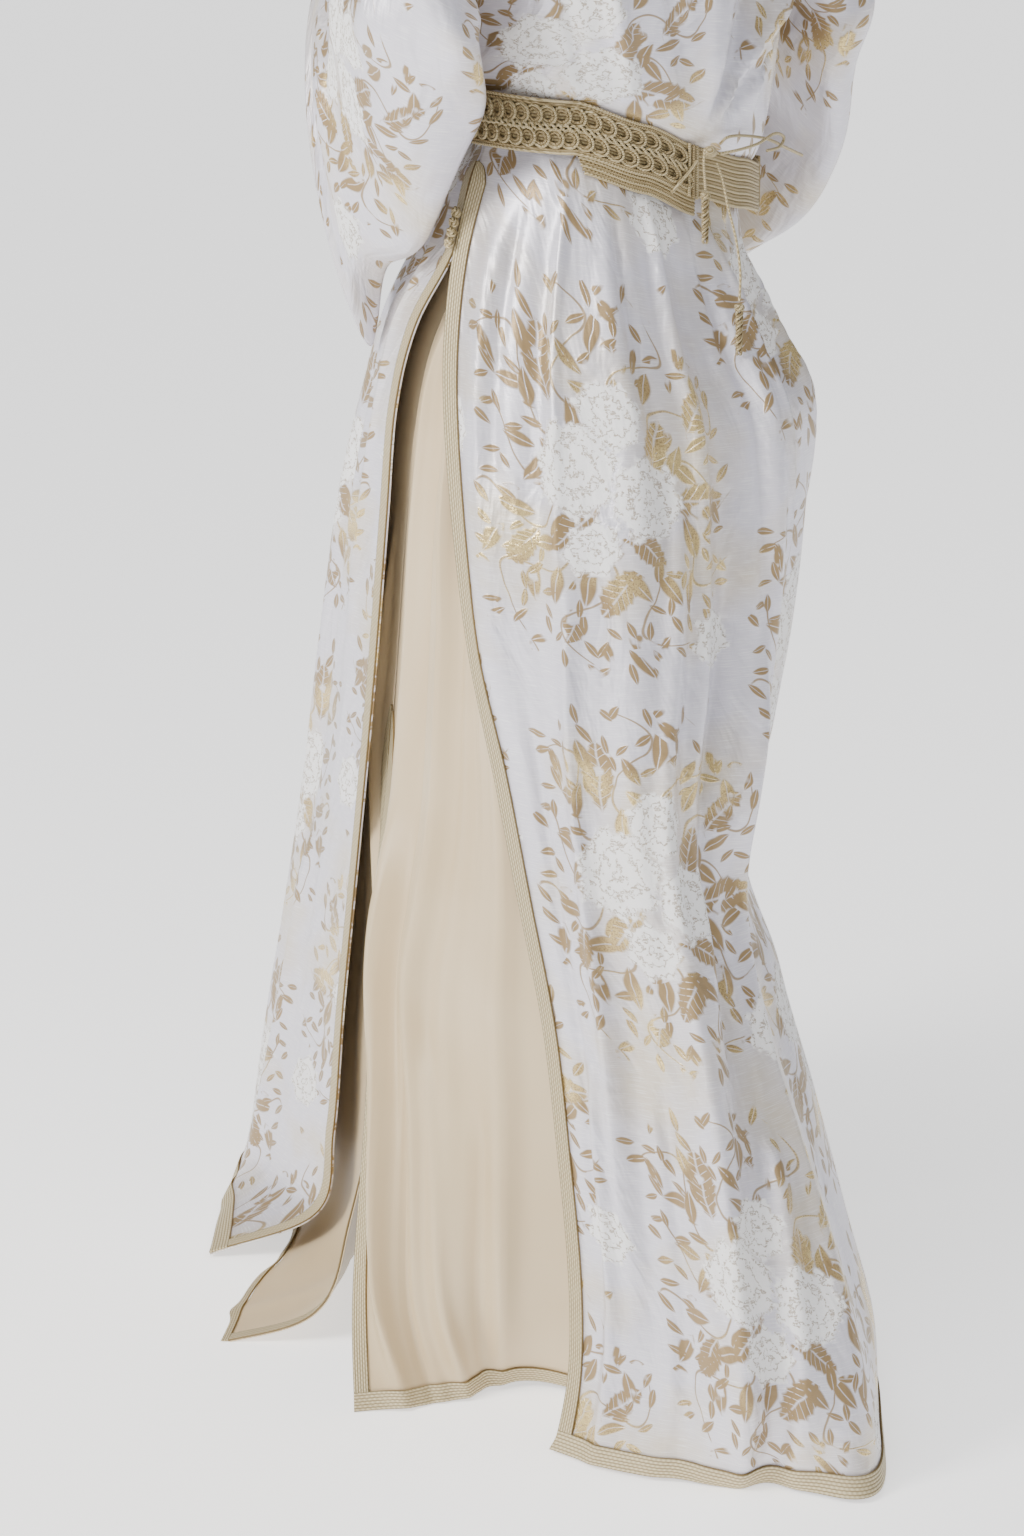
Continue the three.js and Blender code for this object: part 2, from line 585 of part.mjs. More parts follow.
function cord(points, diameter, steps) {
  const shape = new THREE.Shape();
  for (let i = 0; i < 8; i += 1) {
    const a = i / 8 * Math.PI * 2;
    const x = Math.cos(a) * diameter / 2;
    const y = Math.sin(a) * diameter / 2;
    if (i === 0) {
      shape.moveTo(x, y);
    } else {
      shape.lineTo(x, y);
    }
  }
  shape.closePath();
  const path = new THREE.CatmullRomCurve3(points.map(vector));
  return solid(new THREE.ExtrudeGeometry(shape, { steps, bevelEnabled: false, extrudePath: path }));
}

function ball(centre, diameter, squash = 1) {
  const geometry = new THREE.SphereGeometry(diameter / 2, 12, 8);
  geometry.scale(1, 1, squash);
  geometry.translate(...vector(centre).toArray());
  return solid(geometry);
}

// A knotted tassel hanging straight down: a row of small round knots in one turned solid.
function tassel(topPoint, knots) {
  const profile = [[0, 0]];
  let down = 0;
  for (const [radius, knotLength] of knots) {
    for (const [share, part] of [[0.12, 0.62], [0.5, 1], [0.88, 0.62]]) {
      profile.push([radius * part, -(down + knotLength * share)]);
    }
    down += knotLength;
  }
  profile.push([0, -down]);
  const turned = new THREE.LatheGeometry(profile.map(([x, y]) => new THREE.Vector2(x, y)), 10);
  turned.rotateX(Math.PI / 2);
  turned.translate(...vector(topPoint).toArray());
  return solid(turned);
}

// ---- build ---------------------------------------------------------------
const back = makePanel(OUTER_BACK, BACK_FOLDS, [1.5, 8]);
const front = makePanel(OUTER_FRONT, FRONT_FOLDS, [1.5, 8]);
const underBack = makePanel(UNDER_BACK, UNDER_BACK_FOLDS, [-1, 6]);
const underFront = makePanel(UNDER_FRONT, UNDER_FRONT_FOLDS, [-1, 6]);

layGrid(back, {
  braidWidth: SLIT_BRAID_WIDTH, hemWidth: HEM_BRAID_WIDTH, columns: 26, neckDepth: NECK_BRAID_ROWS,
});
layGrid(front, {
  braidWidth: SLIT_BRAID_WIDTH, hemWidth: HEM_BRAID_WIDTH, columns: 26, neckDepth: NECK_BRAID_ROWS,
});
layGrid(underBack, {
  braidWidth: SATIN_BRAID_WIDTH, hemWidth: SATIN_HEM_BRAID_WIDTH, columns: 20,
});
layGrid(underFront, {
  braidWidth: SATIN_BRAID_WIDTH, hemWidth: SATIN_HEM_BRAID_WIDTH, columns: 20,
});

addNode('back_panel', panelWall(back, BROCADE_WALL), BROCADE);
addNode('front_panel', panelWall(front, BROCADE_WALL), BROCADE);
addNode('left_sleeve', sleeveWall(LEFT_SLEEVE, 18, 1.5), BROCADE);
addNode('right_sleeve', sleeveWall(RIGHT_SLEEVE, 18, 1.5), BROCADE);
addNode('under_back_panel', panelWall(underBack, SATIN_WALL), SATIN);
addNode('under_front_panel', panelWall(underFront, SATIN_WALL), SATIN);

for (const [side, leftSide] of [['left', true], ['right', false]]) {
  addNode(`${side}_slit_braid_back`, slitBraid(back, leftSide, OUTER_BRAID_TOP), BRAID);
  addNode(`${side}_slit_braid_front`, slitBraid(front, leftSide, OUTER_BRAID_TOP), BRAID);
  addNode(`under_${side}_slit_braid_back`, slitBraid(underBack, leftSide, UNDER_BRAID_TOP), BRAID);
  addNode(`under_${side}_slit_braid_front`, slitBraid(underFront, leftSide, UNDER_BRAID_TOP), BRAID);
}
addNode('hem_braid_back', hemBraid(back), BRAID);
addNode('hem_braid_front', hemBraid(front), BRAID);
addNode('under_hem_braid_back', hemBraid(underBack), BRAID);
addNode('under_hem_braid_front', hemBraid(underFront), BRAID);
addNode('neck_braid_back', neckBraid(back), BRAID);
addNode('neck_braid_front', neckBraid(front), BRAID);

for (const [side, heights, across] of [
  ['left', LEFT_BUTTON_HEIGHTS, 0],
  ['right', RIGHT_BUTTON_HEIGHTS, 1],
]) {
  heights.forEach((height, i) => {
    let down = 5;
    while (down < 8 && back.plain(across, down)[2] > height) {
      down += 0.01;
    }
    const out = BRAID_LIFT + BRAID_WALL + SEAM_GAP + BUTTON_DIAMETER / 2;
    const edge = back.plain(across, down);
    const centre = add(edge, [Math.sign(edge[0]) * out, 0, 0]);
    addNode(`${side}_button_${i + 1}`, ball(centre, BUTTON_DIAMETER, 0.8), CORD);
  });
}

addNode('belt_band', beltWall(BELT_BAND_TURN, 2.4, BELT_BAND_WALL, 0, 56), BRAID);
addNode('belt_strap', beltWall(BELT_STRAP_TURN, 2.4, BELT_STRAP_WALL, 0, 16), BRAID);
addNode('belt_under_end', beltWall(BELT_END_TURN, 0.4, BELT_END_WALL, BELT_END_DROP, 12, 4), BRAID);

addNode('tie_knot', ball([-5, 127, 1059], 12, 0.85), CORD);
addNode('tie_binding', cord(BINDING_CORD, TIE_CORD_DIAMETER, 12), CORD);
addNode('tie_cord', cord(RIGHT_TIE, TIE_CORD_DIAMETER, 24), CORD);
addNode('tie_loop', cord(RIGHT_TIE_LOOP, TIE_CORD_DIAMETER, 30), CORD);
addNode('short_tassel_cord', cord(SHORT_TASSEL_CORD, TASSEL_CORD_DIAMETER, 8), CORD);
addNode('long_tassel_cord', cord(LONG_TASSEL_CORD, TASSEL_CORD_DIAMETER, 26), CORD);

const SHORT_KNOTS = [[4.6, 8], [2.6, 6], [2.6, 6], [2.6, 6], [2.6, 6], [2.4, 6], [2.2, 6]];
const LONG_KNOTS = [[5, 9], [2.8, 7], [2.8, 7], [2.8, 7], [2.7, 7], [2.6, 7]];
addNode('short_tassel', tassel([4, 132, 1028.8], SHORT_KNOTS), CORD);
addNode('long_tassel', tassel([-2, 168, 941], LONG_KNOTS), CORD);

export default group;
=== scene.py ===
import math

import bpy
import numpy as np
from mathutils import Matrix, Vector


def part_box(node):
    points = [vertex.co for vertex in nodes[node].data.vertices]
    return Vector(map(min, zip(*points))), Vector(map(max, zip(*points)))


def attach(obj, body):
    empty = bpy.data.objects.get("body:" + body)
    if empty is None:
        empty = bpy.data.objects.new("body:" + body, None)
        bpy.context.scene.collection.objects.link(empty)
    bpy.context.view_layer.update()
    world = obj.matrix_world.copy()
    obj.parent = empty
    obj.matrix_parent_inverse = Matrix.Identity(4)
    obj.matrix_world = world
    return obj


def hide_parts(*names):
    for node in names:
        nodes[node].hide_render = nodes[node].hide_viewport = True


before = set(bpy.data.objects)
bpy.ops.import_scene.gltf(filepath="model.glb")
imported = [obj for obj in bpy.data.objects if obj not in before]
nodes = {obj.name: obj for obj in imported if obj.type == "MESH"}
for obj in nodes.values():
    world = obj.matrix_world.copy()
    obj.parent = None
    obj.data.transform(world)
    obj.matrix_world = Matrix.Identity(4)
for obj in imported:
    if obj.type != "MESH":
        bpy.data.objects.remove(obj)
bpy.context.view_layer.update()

# ---- sizes, in metres unless a table says otherwise ----------------------
MM = 0.001
HELD_HEIGHT = 1445          # mm, the neck above the floor, as in the part's own source
SLIT_BRAID = 0.015
HEM_BRAID = 0.019
UNDER_SLIT_BRAID = 0.013
UNDER_HEM_BRAID = 0.016
BRAID_LIFT = 0.0004
FOLD_DEPTH = 1.45
TROUGH_SHARE = 0.6          # how deep troughs are against ridges, to clear the underdress
UNDER_INSET = 0.009
SLIT_POINT = 0.5            # rows above the slit at which its braid comes to a point
BROCADE_THICKNESS = 0.0012
SATIN_THICKNESS = 0.0010
TIE_DIAMETER = 0.0026
TASSEL_CORD_SIZE = 0.0022

# Section tables in millimetres: a row per section, a column per named place round it.
OUTER_BACK = [
  [[195, 0, 1395], [78, 5, 1440], [0, 60, 1425], [-78, 5, 1440], [-195, 0, 1395]],
  [[172, 48, 1322], [98, 98, 1330], [0, 112, 1335], [-98, 98, 1330], [-172, 48, 1322]],
  [[165, 0, 1250], [120, 92, 1250], [0, 122, 1250], [-120, 92, 1250], [-165, 0, 1250]],
  [[150, 0, 1180], [115, 92, 1176], [0, 126, 1168], [-112, 94, 1160], [-155, 2, 1152]],
  [[142, 0, 1128], [106, 84, 1120], [0, 124, 1084], [-96, 90, 1062], [-142, 0, 1058]],
  [[126, 0, 1088], [90, 70, 1082], [0, 103, 1042], [-88, 69, 1020], [-124, 0, 1020]],
  [[130, 0, 1062], [94, 74, 1054], [1, 106, 1012], [-88, 71, 988], [-125, 0, 995]],
  [[142, -1, 1035], [108, 85, 1024], [3, 119, 986], [-86, 82, 962], [-128, 0, 970]],
  [[158, -4, 978], [126, 98, 965], [10, 137, 940], [-84, 104, 925], [-134, 0, 932]],
  [[176, 6, 915], [142, 114, 905], [18, 160, 895], [-78, 132, 890], [-140, 12, 895]],
  [[186, 17, 850], [152, 130, 846], [25, 186, 843], [-75, 165, 843], [-145, 18, 846]],
  [[194, 38, 755], [165, 150, 752], [48, 202, 750], [-57, 182, 750], [-150, 25, 755]],
  [[196, 60, 655], [172, 160, 652], [75, 216, 650], [-32, 192, 650], [-152, 28, 655]],
  [[194, 92, 550], [174, 175, 548], [105, 230, 547], [3, 203, 547], [-147, 20, 550]],
  [[193, 118, 460], [175, 198, 460], [115, 246, 460], [16, 202, 460], [-141, 14, 460]],
  [[191, 148, 355], [177, 226, 355], [123, 276, 355], [28, 246, 355], [-152, 20, 355]],
  [[194, 170, 255], [183, 252, 255], [131, 315, 255], [31, 300, 255], [-168, 34, 255]],
  [[201, 193, 155], [190, 280, 155], [137, 350, 155], [37, 355, 155], [-180, 52, 155]],
  [[210, 205, 77], [199, 296, 77], [141, 370, 77], [43, 396, 77], [-190, 75, 77]],
  [[226, 210, 22], [206, 298, 22], [138, 364, 22], [55, 418, 22], [-196, 86, 22]],
  [[233, 206, 3], [207, 294, 3], [134, 359, 3], [62, 429, 3], [-200, 90, 3]],
]

OUTER_FRONT = [
  [[195, 0, 1395], [78, -5, 1440], [0, -82, 1378], [-78, -5, 1440], [-195, 0, 1395]],
  [[172, -52, 1322], [95, -106, 1325], [0, -124, 1315], [-95, -106, 1325], [-172, -52, 1322]],
  [[165, 0, 1250], [118, -96, 1245], [0, -132, 1240], [-118, -96, 1245], [-165, 0, 1250]],
  [[150, 0, 1180], [112, -90, 1178], [0, -126, 1174], [-112, -90, 1164], [-155, 2, 1152]],
  [[142, 0, 1128], [104, -82, 1125], [0, -116, 1112], [-100, -80, 1085], [-142, 0, 1058]],
  [[126, 0, 1088], [88, -68, 1085], [0, -98, 1070], [-88, -66, 1042], [-124, 0, 1020]],
  [[130, 0, 1062], [92, -71, 1058], [0, -101, 1046], [-90, -69, 1018], [-125, 0, 995]],
  [[142, -1, 1035], [106, -82, 1031], [1, -112, 1020], [-98, -78, 990], [-128, 0, 970]],
  [[158, -4, 978], [128, -90, 975], [5, -128, 972], [-112, -88, 955], [-134, 0, 932]],
  [[176, -33, 915], [146, -112, 912], [10, -162, 910], [-125, -110, 905], [-141, -12, 895]],
  [[180, -57, 843], [148, -138, 840], [18, -205, 840], [-125, -140, 840], [-146, -22, 843]],
  [[171, -84, 740], [139, -184, 740], [20, -255, 740], [-122, -175, 740], [-150, -35, 740]],
  [[164, -116, 589], [125, -236, 589], [15, -312, 589], [-125, -222, 589], [-155, -52, 589]],
  [[159, -150, 430], [113, -285, 430], [8, -362, 430], [-132, -258, 430], [-162, -70, 430]],
  [[152, -188, 267], [105, -336, 267], [5, -415, 267], [-140, -300, 267], [-170, -95, 267]],
  [[146, -215, 138], [106, -375, 138], [5, -450, 138], [-150, -328, 138], [-182, -113, 138]],
  [[150, -240, 48], [110, -402, 48], [8, -474, 48], [-158, -345, 48], [-190, -126, 48]],
  [[223, -313, 3], [135, -410, 3], [20, -492, 3], [-150, -365, 3], [-200, -140, 3]],
]

UNDER_BACK = [
  [[118, 0, 1078], [110, 36, 1072], [80, 66, 1062], [0, 94, 1032], [-78, 62, 1010], [-115, 0, 1010]],
  [[146, -14, 975], [144, 28, 968], [112, 82, 958], [8, 120, 935], [-74, 86, 922], [-122, 0, 930]],
  [[166, -40, 895], [169, 8, 892], [134, 98, 888], [16, 146, 885], [-70, 118, 882], [-129, 0, 885]],
  [[168, -62, 820], [177, 8, 820], [150, 102, 820], [30, 174, 820], [-64, 150, 820], [-133, 0, 820]],
  [[160, -86, 740], [183, 0, 740], [164, 100, 740], [48, 188, 740], [-50, 166, 740], [-138, -4, 740]],
  [[152, -112, 620], [185, -8, 620], [174, 105, 620], [80, 204, 620], [-20, 176, 620], [-139, -9, 620]],
  [[150, -130, 506], [190, -12, 506], [175, 122, 506], [104, 216, 506], [2, 170, 506], [-133, -12, 506]],
  [[177, -110, 430], [205, -10, 430], [176, 132, 430], [106, 226, 430], [6, 174, 430], [-130, -6, 430]],
  [[205, -88, 350], [222, -8, 350], [180, 140, 350], [112, 250, 350], [20, 212, 350], [-138, 4, 350]],
  [[237, -50, 250], [240, 22, 250], [182, 150, 250], [112, 288, 250], [20, 264, 250], [-150, 14, 250]],
  [[290, 2, 100], [264, 60, 100], [182, 146, 100], [105, 300, 100], [18, 290, 100], [-162, 35, 100]],
  [[317, 44, 3], [246, 86, 3], [165, 108, 3], [95, 260, 3], [12, 270, 3], [-168, 45, 3]],
]

UNDER_FRONT = [
  [[118, 0, 1078], [108, -33, 1076], [78, -62, 1074], [0, -90, 1062], [-80, -60, 1035], [-115, 0, 1010]],
  [[146, -14, 975], [138, -50, 973], [114, -84, 970], [5, -116, 965], [-103, -80, 948], [-122, 0, 930]],
  [[166, -40, 895], [154, -78, 895], [130, -112, 895], [12, -158, 895], [-112, -108, 890], [-129, 0, 885]],
  [[168, -62, 820], [152, -108, 820], [130, -143, 820], [18, -203, 820], [-112, -136, 820], [-133, 0, 820]],
  [[160, -86, 740], [142, -137, 740], [116, -176, 740], [18, -230, 740], [-106, -160, 740], [-138, -4, 740]],
  [[152, -112, 620], [134, -168, 620], [106, -210, 620], [15, -272, 620], [-108, -194, 620], [-139, -9, 620]],
  [[150, -130, 506], [132, -188, 506], [102, -238, 506], [10, -310, 506], [-110, -216, 506], [-133, -12, 506]],
  [[180, -105, 350], [150, -152, 350], [102, -268, 350], [8, -370, 350], [-120, -258, 350], [-140, -26, 350]],
  [[210, -70, 250], [153, -158, 250], [98, -292, 250], [5, -398, 250], [-126, -280, 250], [-148, -38, 250]],
  [[244, -72, 125], [150, -172, 125], [98, -305, 125], [2, -420, 125], [-133, -295, 125], [-158, -48, 125]],
  [[264, -95, 38], [162, -186, 38], [104, -315, 38], [0, -435, 38], [-138, -310, 38], [-163, -53, 38]],
  [[327, -161, 3], [248, -235, 3], [150, -302, 3], [10, -430, 3], [-138, -315, 3], [-166, -56, 3]],
]

LEFT_SLEEVE = [
  [[172, -52, 1322], [195, 0, 1395], [172, 48, 1322], [165, 0, 1250]],
  [[196, -50, 1285], [237, 5, 1330], [212, 66, 1268], [174, 20, 1225]],
  [[205, -40, 1238], [252, 20, 1235], [220, 84, 1190], [182, 45, 1185]],
  [[208, -44, 1216], [254, 20, 1160], [205, 86, 1128], [178, 25, 1160]],
  [[195, -72, 1214], [246, -25, 1120], [184, 40, 1070], [164, -18, 1130]],
  [[175, -105, 1212], [238, -65, 1105], [178, -17, 990], [162, -60, 1090]],
  [[150, -150, 1212], [231, -92, 1098], [181, -73, 945], [160, -95, 1062]],
  [[125, -195, 1212], [226, -113, 1092], [170, -108, 888], [152, -140, 1045]],
]

RIGHT_SLEEVE = [
  [[-172, -52, 1322], [-195, 0, 1395], [-172, 48, 1322], [-165, 0, 1250]],
  [[-196, -50, 1285], [-237, 5, 1330], [-212, 66, 1268], [-174, 20, 1225]],
  [[-205, -40, 1238], [-252, 20, 1235], [-222, 84, 1190], [-182, 45, 1185]],
  [[-208, -44, 1216], [-254, 20, 1160], [-214, 86, 1122], [-178, 25, 1160]],
  [[-195, -72, 1214], [-252, -20, 1120], [-226, 50, 1050], [-168, -5, 1128]],
  [[-175, -105, 1212], [-248, -60, 1100], [-235, 10, 988], [-170, -50, 1080]],
  [[-150, -150, 1212], [-240, -92, 1090], [-220, -48, 925], [-168, -90, 1052]],
  [[-125, -195, 1212], [-232, -120, 1085], [-196, -105, 880], [-160, -135, 1040]],
]

BACK_FOLDS = [
  [0.10, 0.06, 1000, 620, 0.030, 0.050, 7],
  [0.21, 0.17, 1010, 500, 0.030, 0.060, -9],
  [0.33, 0.40, 1020, 420, 0.035, 0.060, 10],
  [0.45, 0.58, 1000, 520, 0.030, 0.050, -9],
  [0.56, 0.70, 960, 480, 0.035, 0.060, 8],
  [0.68, 0.80, 940, 420, 0.035, 0.060, -8],
  [0.80, 0.86, 930, 500, 0.035, 0.050, 7],
  [0.30, 0.22, 420, 3, 0.060, 0.080, -12],
  [0.52, 0.44, 480, 3, 0.050, 0.070, 12],
  [0.85, 0.88, 420, 3, 0.050, 0.060, 10],
]

FRONT_FOLDS = [
  [0.15, 0.20, 1020, 420, 0.035, 0.060, -7],
  [0.30, 0.34, 1030, 60, 0.035, 0.055, 9],
  [0.42, 0.46, 1020, 200, 0.030, 0.050, -9],
  [0.56, 0.58, 1000, 60, 0.035, 0.055, 9],
  [0.70, 0.68, 990, 160, 0.030, 0.050, -8],
  [0.84, 0.80, 970, 60, 0.035, 0.055, 8],
]

UNDER_BACK_FOLDS = [
  [0.10, 0.10, 620, 10, 0.030, 0.040, 6],
  [0.22, 0.20, 760, 3, 0.035, 0.045, -8],
  [0.45, 0.48, 760, 3, 0.040, 0.060, 8],
  [0.70, 0.70, 700, 3, 0.040, 0.060, -8],
]

UNDER_FRONT_FOLDS = [
  [0.35, 0.38, 760, 3, 0.040, 0.060, -6],
  [0.55, 0.56, 760, 3, 0.040, 0.060, 5],
  [0.75, 0.74, 700, 3, 0.040, 0.060, -6],
]

BELT_HEIGHTS = [
  [0, 1110, 1066],
  [45, 1103, 1061],
  [70, 1083, 1042],
  [90, 1062, 1021],
  [115, 1048, 1006],
  [140, 1036, 996],
  [180, 1040, 998],
  [225, 1064, 1020],
  [270, 1092, 1048],
  [315, 1106, 1062],
  [360, 1110, 1066],
]

RIGHT_TIE = [[-13, 130, 1065], [-22, 130, 1070], [-44, 126, 1069], [-76, 119, 1063],
  [-108, 108, 1052], [-140, 92, 1042]]

RIGHT_TIE_LOOP = [[-14, 129, 1057], [-32, 132, 1059], [-55, 130, 1062], [-78, 125, 1068],
  [-95, 118, 1063], [-86, 122, 1056], [-68, 127, 1055]]

SHORT_TASSEL_CORD = [[4, 131, 1063], [6, 132, 1052], [5, 132, 1040], [4, 132, 1029.5]]

LONG_TASSEL_CORD = [[-9, 131, 1050], [-12, 135, 1036], [-12, 142, 1015], [-12, 152, 990],
  [-8, 162, 965], [-2, 168, 942]]

BINDING_CORD = [[4, 121.5, 1052], [12, 121.5, 1044], [21, 120.5, 1036], [29, 119, 1028]]

# Softer creases that only the cloth surface shows: place across at the top and bottom, the
# heights they run between, half widths across and rise in millimetres.
BACK_CREASES = [
    [0.14, 0.10, 1012, 800, 0.010, 0.020, -5],
    [0.24, 0.22, 1020, 700, 0.009, 0.022, 6],
    [0.33, 0.40, 1014, 760, 0.008, 0.018, -6],
    [0.40, 0.52, 1010, 560, 0.010, 0.026, 8],
    [0.50, 0.66, 985, 620, 0.009, 0.026, -7],
    [0.56, 0.72, 975, 700, 0.008, 0.020, 6],
    [0.64, 0.80, 960, 620, 0.010, 0.026, -6],
    [0.74, 0.86, 960, 740, 0.010, 0.020, 5],
    [0.42, 0.47, 780, 240, 0.018, 0.030, 9],
    [0.54, 0.58, 720, 300, 0.016, 0.026, -8],
    [0.25, 0.20, 720, 160, 0.018, 0.030, 7],
    [0.13, 0.11, 640, 120, 0.014, 0.020, -5],
    [0.64, 0.70, 660, 100, 0.018, 0.028, 8],
    [0.76, 0.80, 560, 60, 0.018, 0.026, -7],
    [0.36, 0.32, 330, 10, 0.024, 0.036, -8],
    [0.62, 0.57, 280, 10, 0.022, 0.030, 8],
    [0.47, 0.46, 240, 10, 0.018, 0.026, 6],
    [0.16, 0.12, 330, 10, 0.022, 0.026, 6],
    [0.40, 0.46, 1330, 1110, 0.022, 0.020, -6],
    [0.54, 0.50, 1300, 1110, 0.020, 0.016, 7],
    [0.64, 0.58, 1260, 1100, 0.020, 0.016, -7],
    [0.72, 0.64, 1290, 1095, 0.020, 0.016, 7],
    [0.30, 0.36, 1280, 1110, 0.022, 0.018, 6],
    [0.22, 0.28, 1240, 1110, 0.018, 0.016, -5],
    [0.86, 0.55, 1290, 1094, 0.024, 0.012, 9],
    [0.76, 0.53, 1330, 1096, 0.022, 0.011, -8],
    [0.94, 0.57, 1230, 1094, 0.022, 0.012, -8],
    [0.62, 0.51, 1350, 1096, 0.022, 0.011, 7],
]
FRONT_CREASES = [
    [0.12, 0.14, 1010, 600, 0.012, 0.024, 5],
    [0.24, 0.27, 1020, 420, 0.012, 0.028, -7],
    [0.37, 0.40, 1010, 360, 0.010, 0.026, 7],
    [0.50, 0.52, 1000, 300, 0.012, 0.030, -6],
    [0.63, 0.63, 990, 420, 0.010, 0.028, 7],
    [0.77, 0.75, 980, 360, 0.012, 0.026, -6],
    [0.86, 0.88, 900, 240, 0.012, 0.022, 6],
    [0.20, 0.24, 420, 10, 0.022, 0.032, 7],
    [0.44, 0.48, 360, 10, 0.024, 0.034, -7],
    [0.92, 0.92, 560, 20, 0.014, 0.020, -5],
    [0.40, 0.44, 1300, 1120, 0.026, 0.020, 5],
    [0.60, 0.56, 1290, 1110, 0.024, 0.020, -5],
]
UNDER_BACK_CREASES = [
    [0.05, 0.07, 900, 420, 0.012, 0.018, 5],
    [0.13, 0.12, 880, 260, 0.012, 0.022, -8],
    [0.20, 0.19, 900, 200, 0.012, 0.022, 8],
    [0.27, 0.28, 900, 160, 0.012, 0.022, -9],
    [0.34, 0.33, 760, 30, 0.014, 0.020, 7],
    [0.08, 0.11, 460, 20, 0.014, 0.022, 8],
    [0.16, 0.17, 330, 10, 0.010, 0.016, -9],
    [0.22, 0.25, 300, 10, 0.012, 0.020, 9],
    [0.30, 0.31, 260, 10, 0.010, 0.018, -10],
    [0.10, 0.14, 1000, 60, 0.020, 0.030, -8],
    [0.24, 0.22, 900, 40, 0.018, 0.026, -7],
]
UNDER_FRONT_CREASES = [
    [0.10, 0.12, 700, 40, 0.018, 0.026, 5],
    [0.30, 0.32, 700, 20, 0.020, 0.030, -6],
    [0.88, 0.88, 520, 20, 0.014, 0.022, 6],
]


# ---- cloth surfaces ------------------------------------------------------
def run(stations, t):
    """A smooth line through evenly numbered stations (last axis xyz) at the numbers t."""
    stations = np.asarray(stations, float)
    t = np.asarray(t, float)
    last = len(stations) - 1
    i = np.clip(np.floor(t).astype(int), 0, last - 1)
    padded = np.concatenate([
        [2 * stations[0] - stations[1]], stations, [2 * stations[-1] - stations[-2]]])
    p0, p1, p2, p3 = (padded[i + k] for k in range(4))
    f = (t - i).reshape(t.shape + (1,) * (stations.ndim - 1))
    m1, m2 = (p2 - p0) / 2, (p3 - p1) / 2
    return ((2 * f**3 - 3 * f**2 + 1) * p1 + (f**3 - 2 * f**2 + f) * m1
            + (3 * f**2 - 2 * f**3) * p2 + (f**3 - f**2) * m2)


def smooth(t):
    c = np.clip(t, 0, 1)
    return c * c * (3 - 2 * c)


def surface(rows, acrosses, downs):
    """Points in metres in the row frame for grids of places across (0 to 1) and rows down."""
    acrosses, downs = np.broadcast_arrays(acrosses, downs)
    sections = run(rows, downs.ravel())
    padded = np.concatenate([
        2 * sections[:, :1] - sections[:, 1:2], sections,
        2 * sections[:, -1:] - sections[:, -2:-1]], axis=1)
    columns = sections.shape[1] - 1
    t = acrosses.ravel() * columns
    i = np.clip(np.floor(t).astype(int), 0, columns - 1)
    f = (t - i)[:, None]
    p0, p1, p2, p3 = (padded[np.arange(len(t)), i + k] for k in range(4))
    m1, m2 = (p2 - p0) / 2, (p3 - p1) / 2
    points = ((2 * f**3 - 3 * f**2 + 1) * p1 + (f**3 - 2 * f**2 + f) * m1
              + (3 * f**2 - 2 * f**3) * p2 + (f**3 - f**2) * m2)
    points[:, 2] -= HELD_HEIGHT
    return points.reshape(*acrosses.shape, 3) * MM


def rises(folds, across, height):
    total = np.zeros(across.shape)
    for a_top, a_low, top, low, w_top, w_low, rise in folds:
        t = (top - height) / (top - low)
        centre = a_top + (a_low - a_top) * t
        width = np.maximum(w_top + (w_low - w_top) * t, 0.004)
        fade = smooth((t + 0.1) * 4) * smooth((1.15 - t) * 3)
        total += rise * fade * np.exp(-((across - centre) / width) ** 2)
    total *= FOLD_DEPTH
    total = np.where(total < 0, total * TROUGH_SHARE, total)
    return total * smooth(across * 16) * smooth((1 - across) * 16) * MM


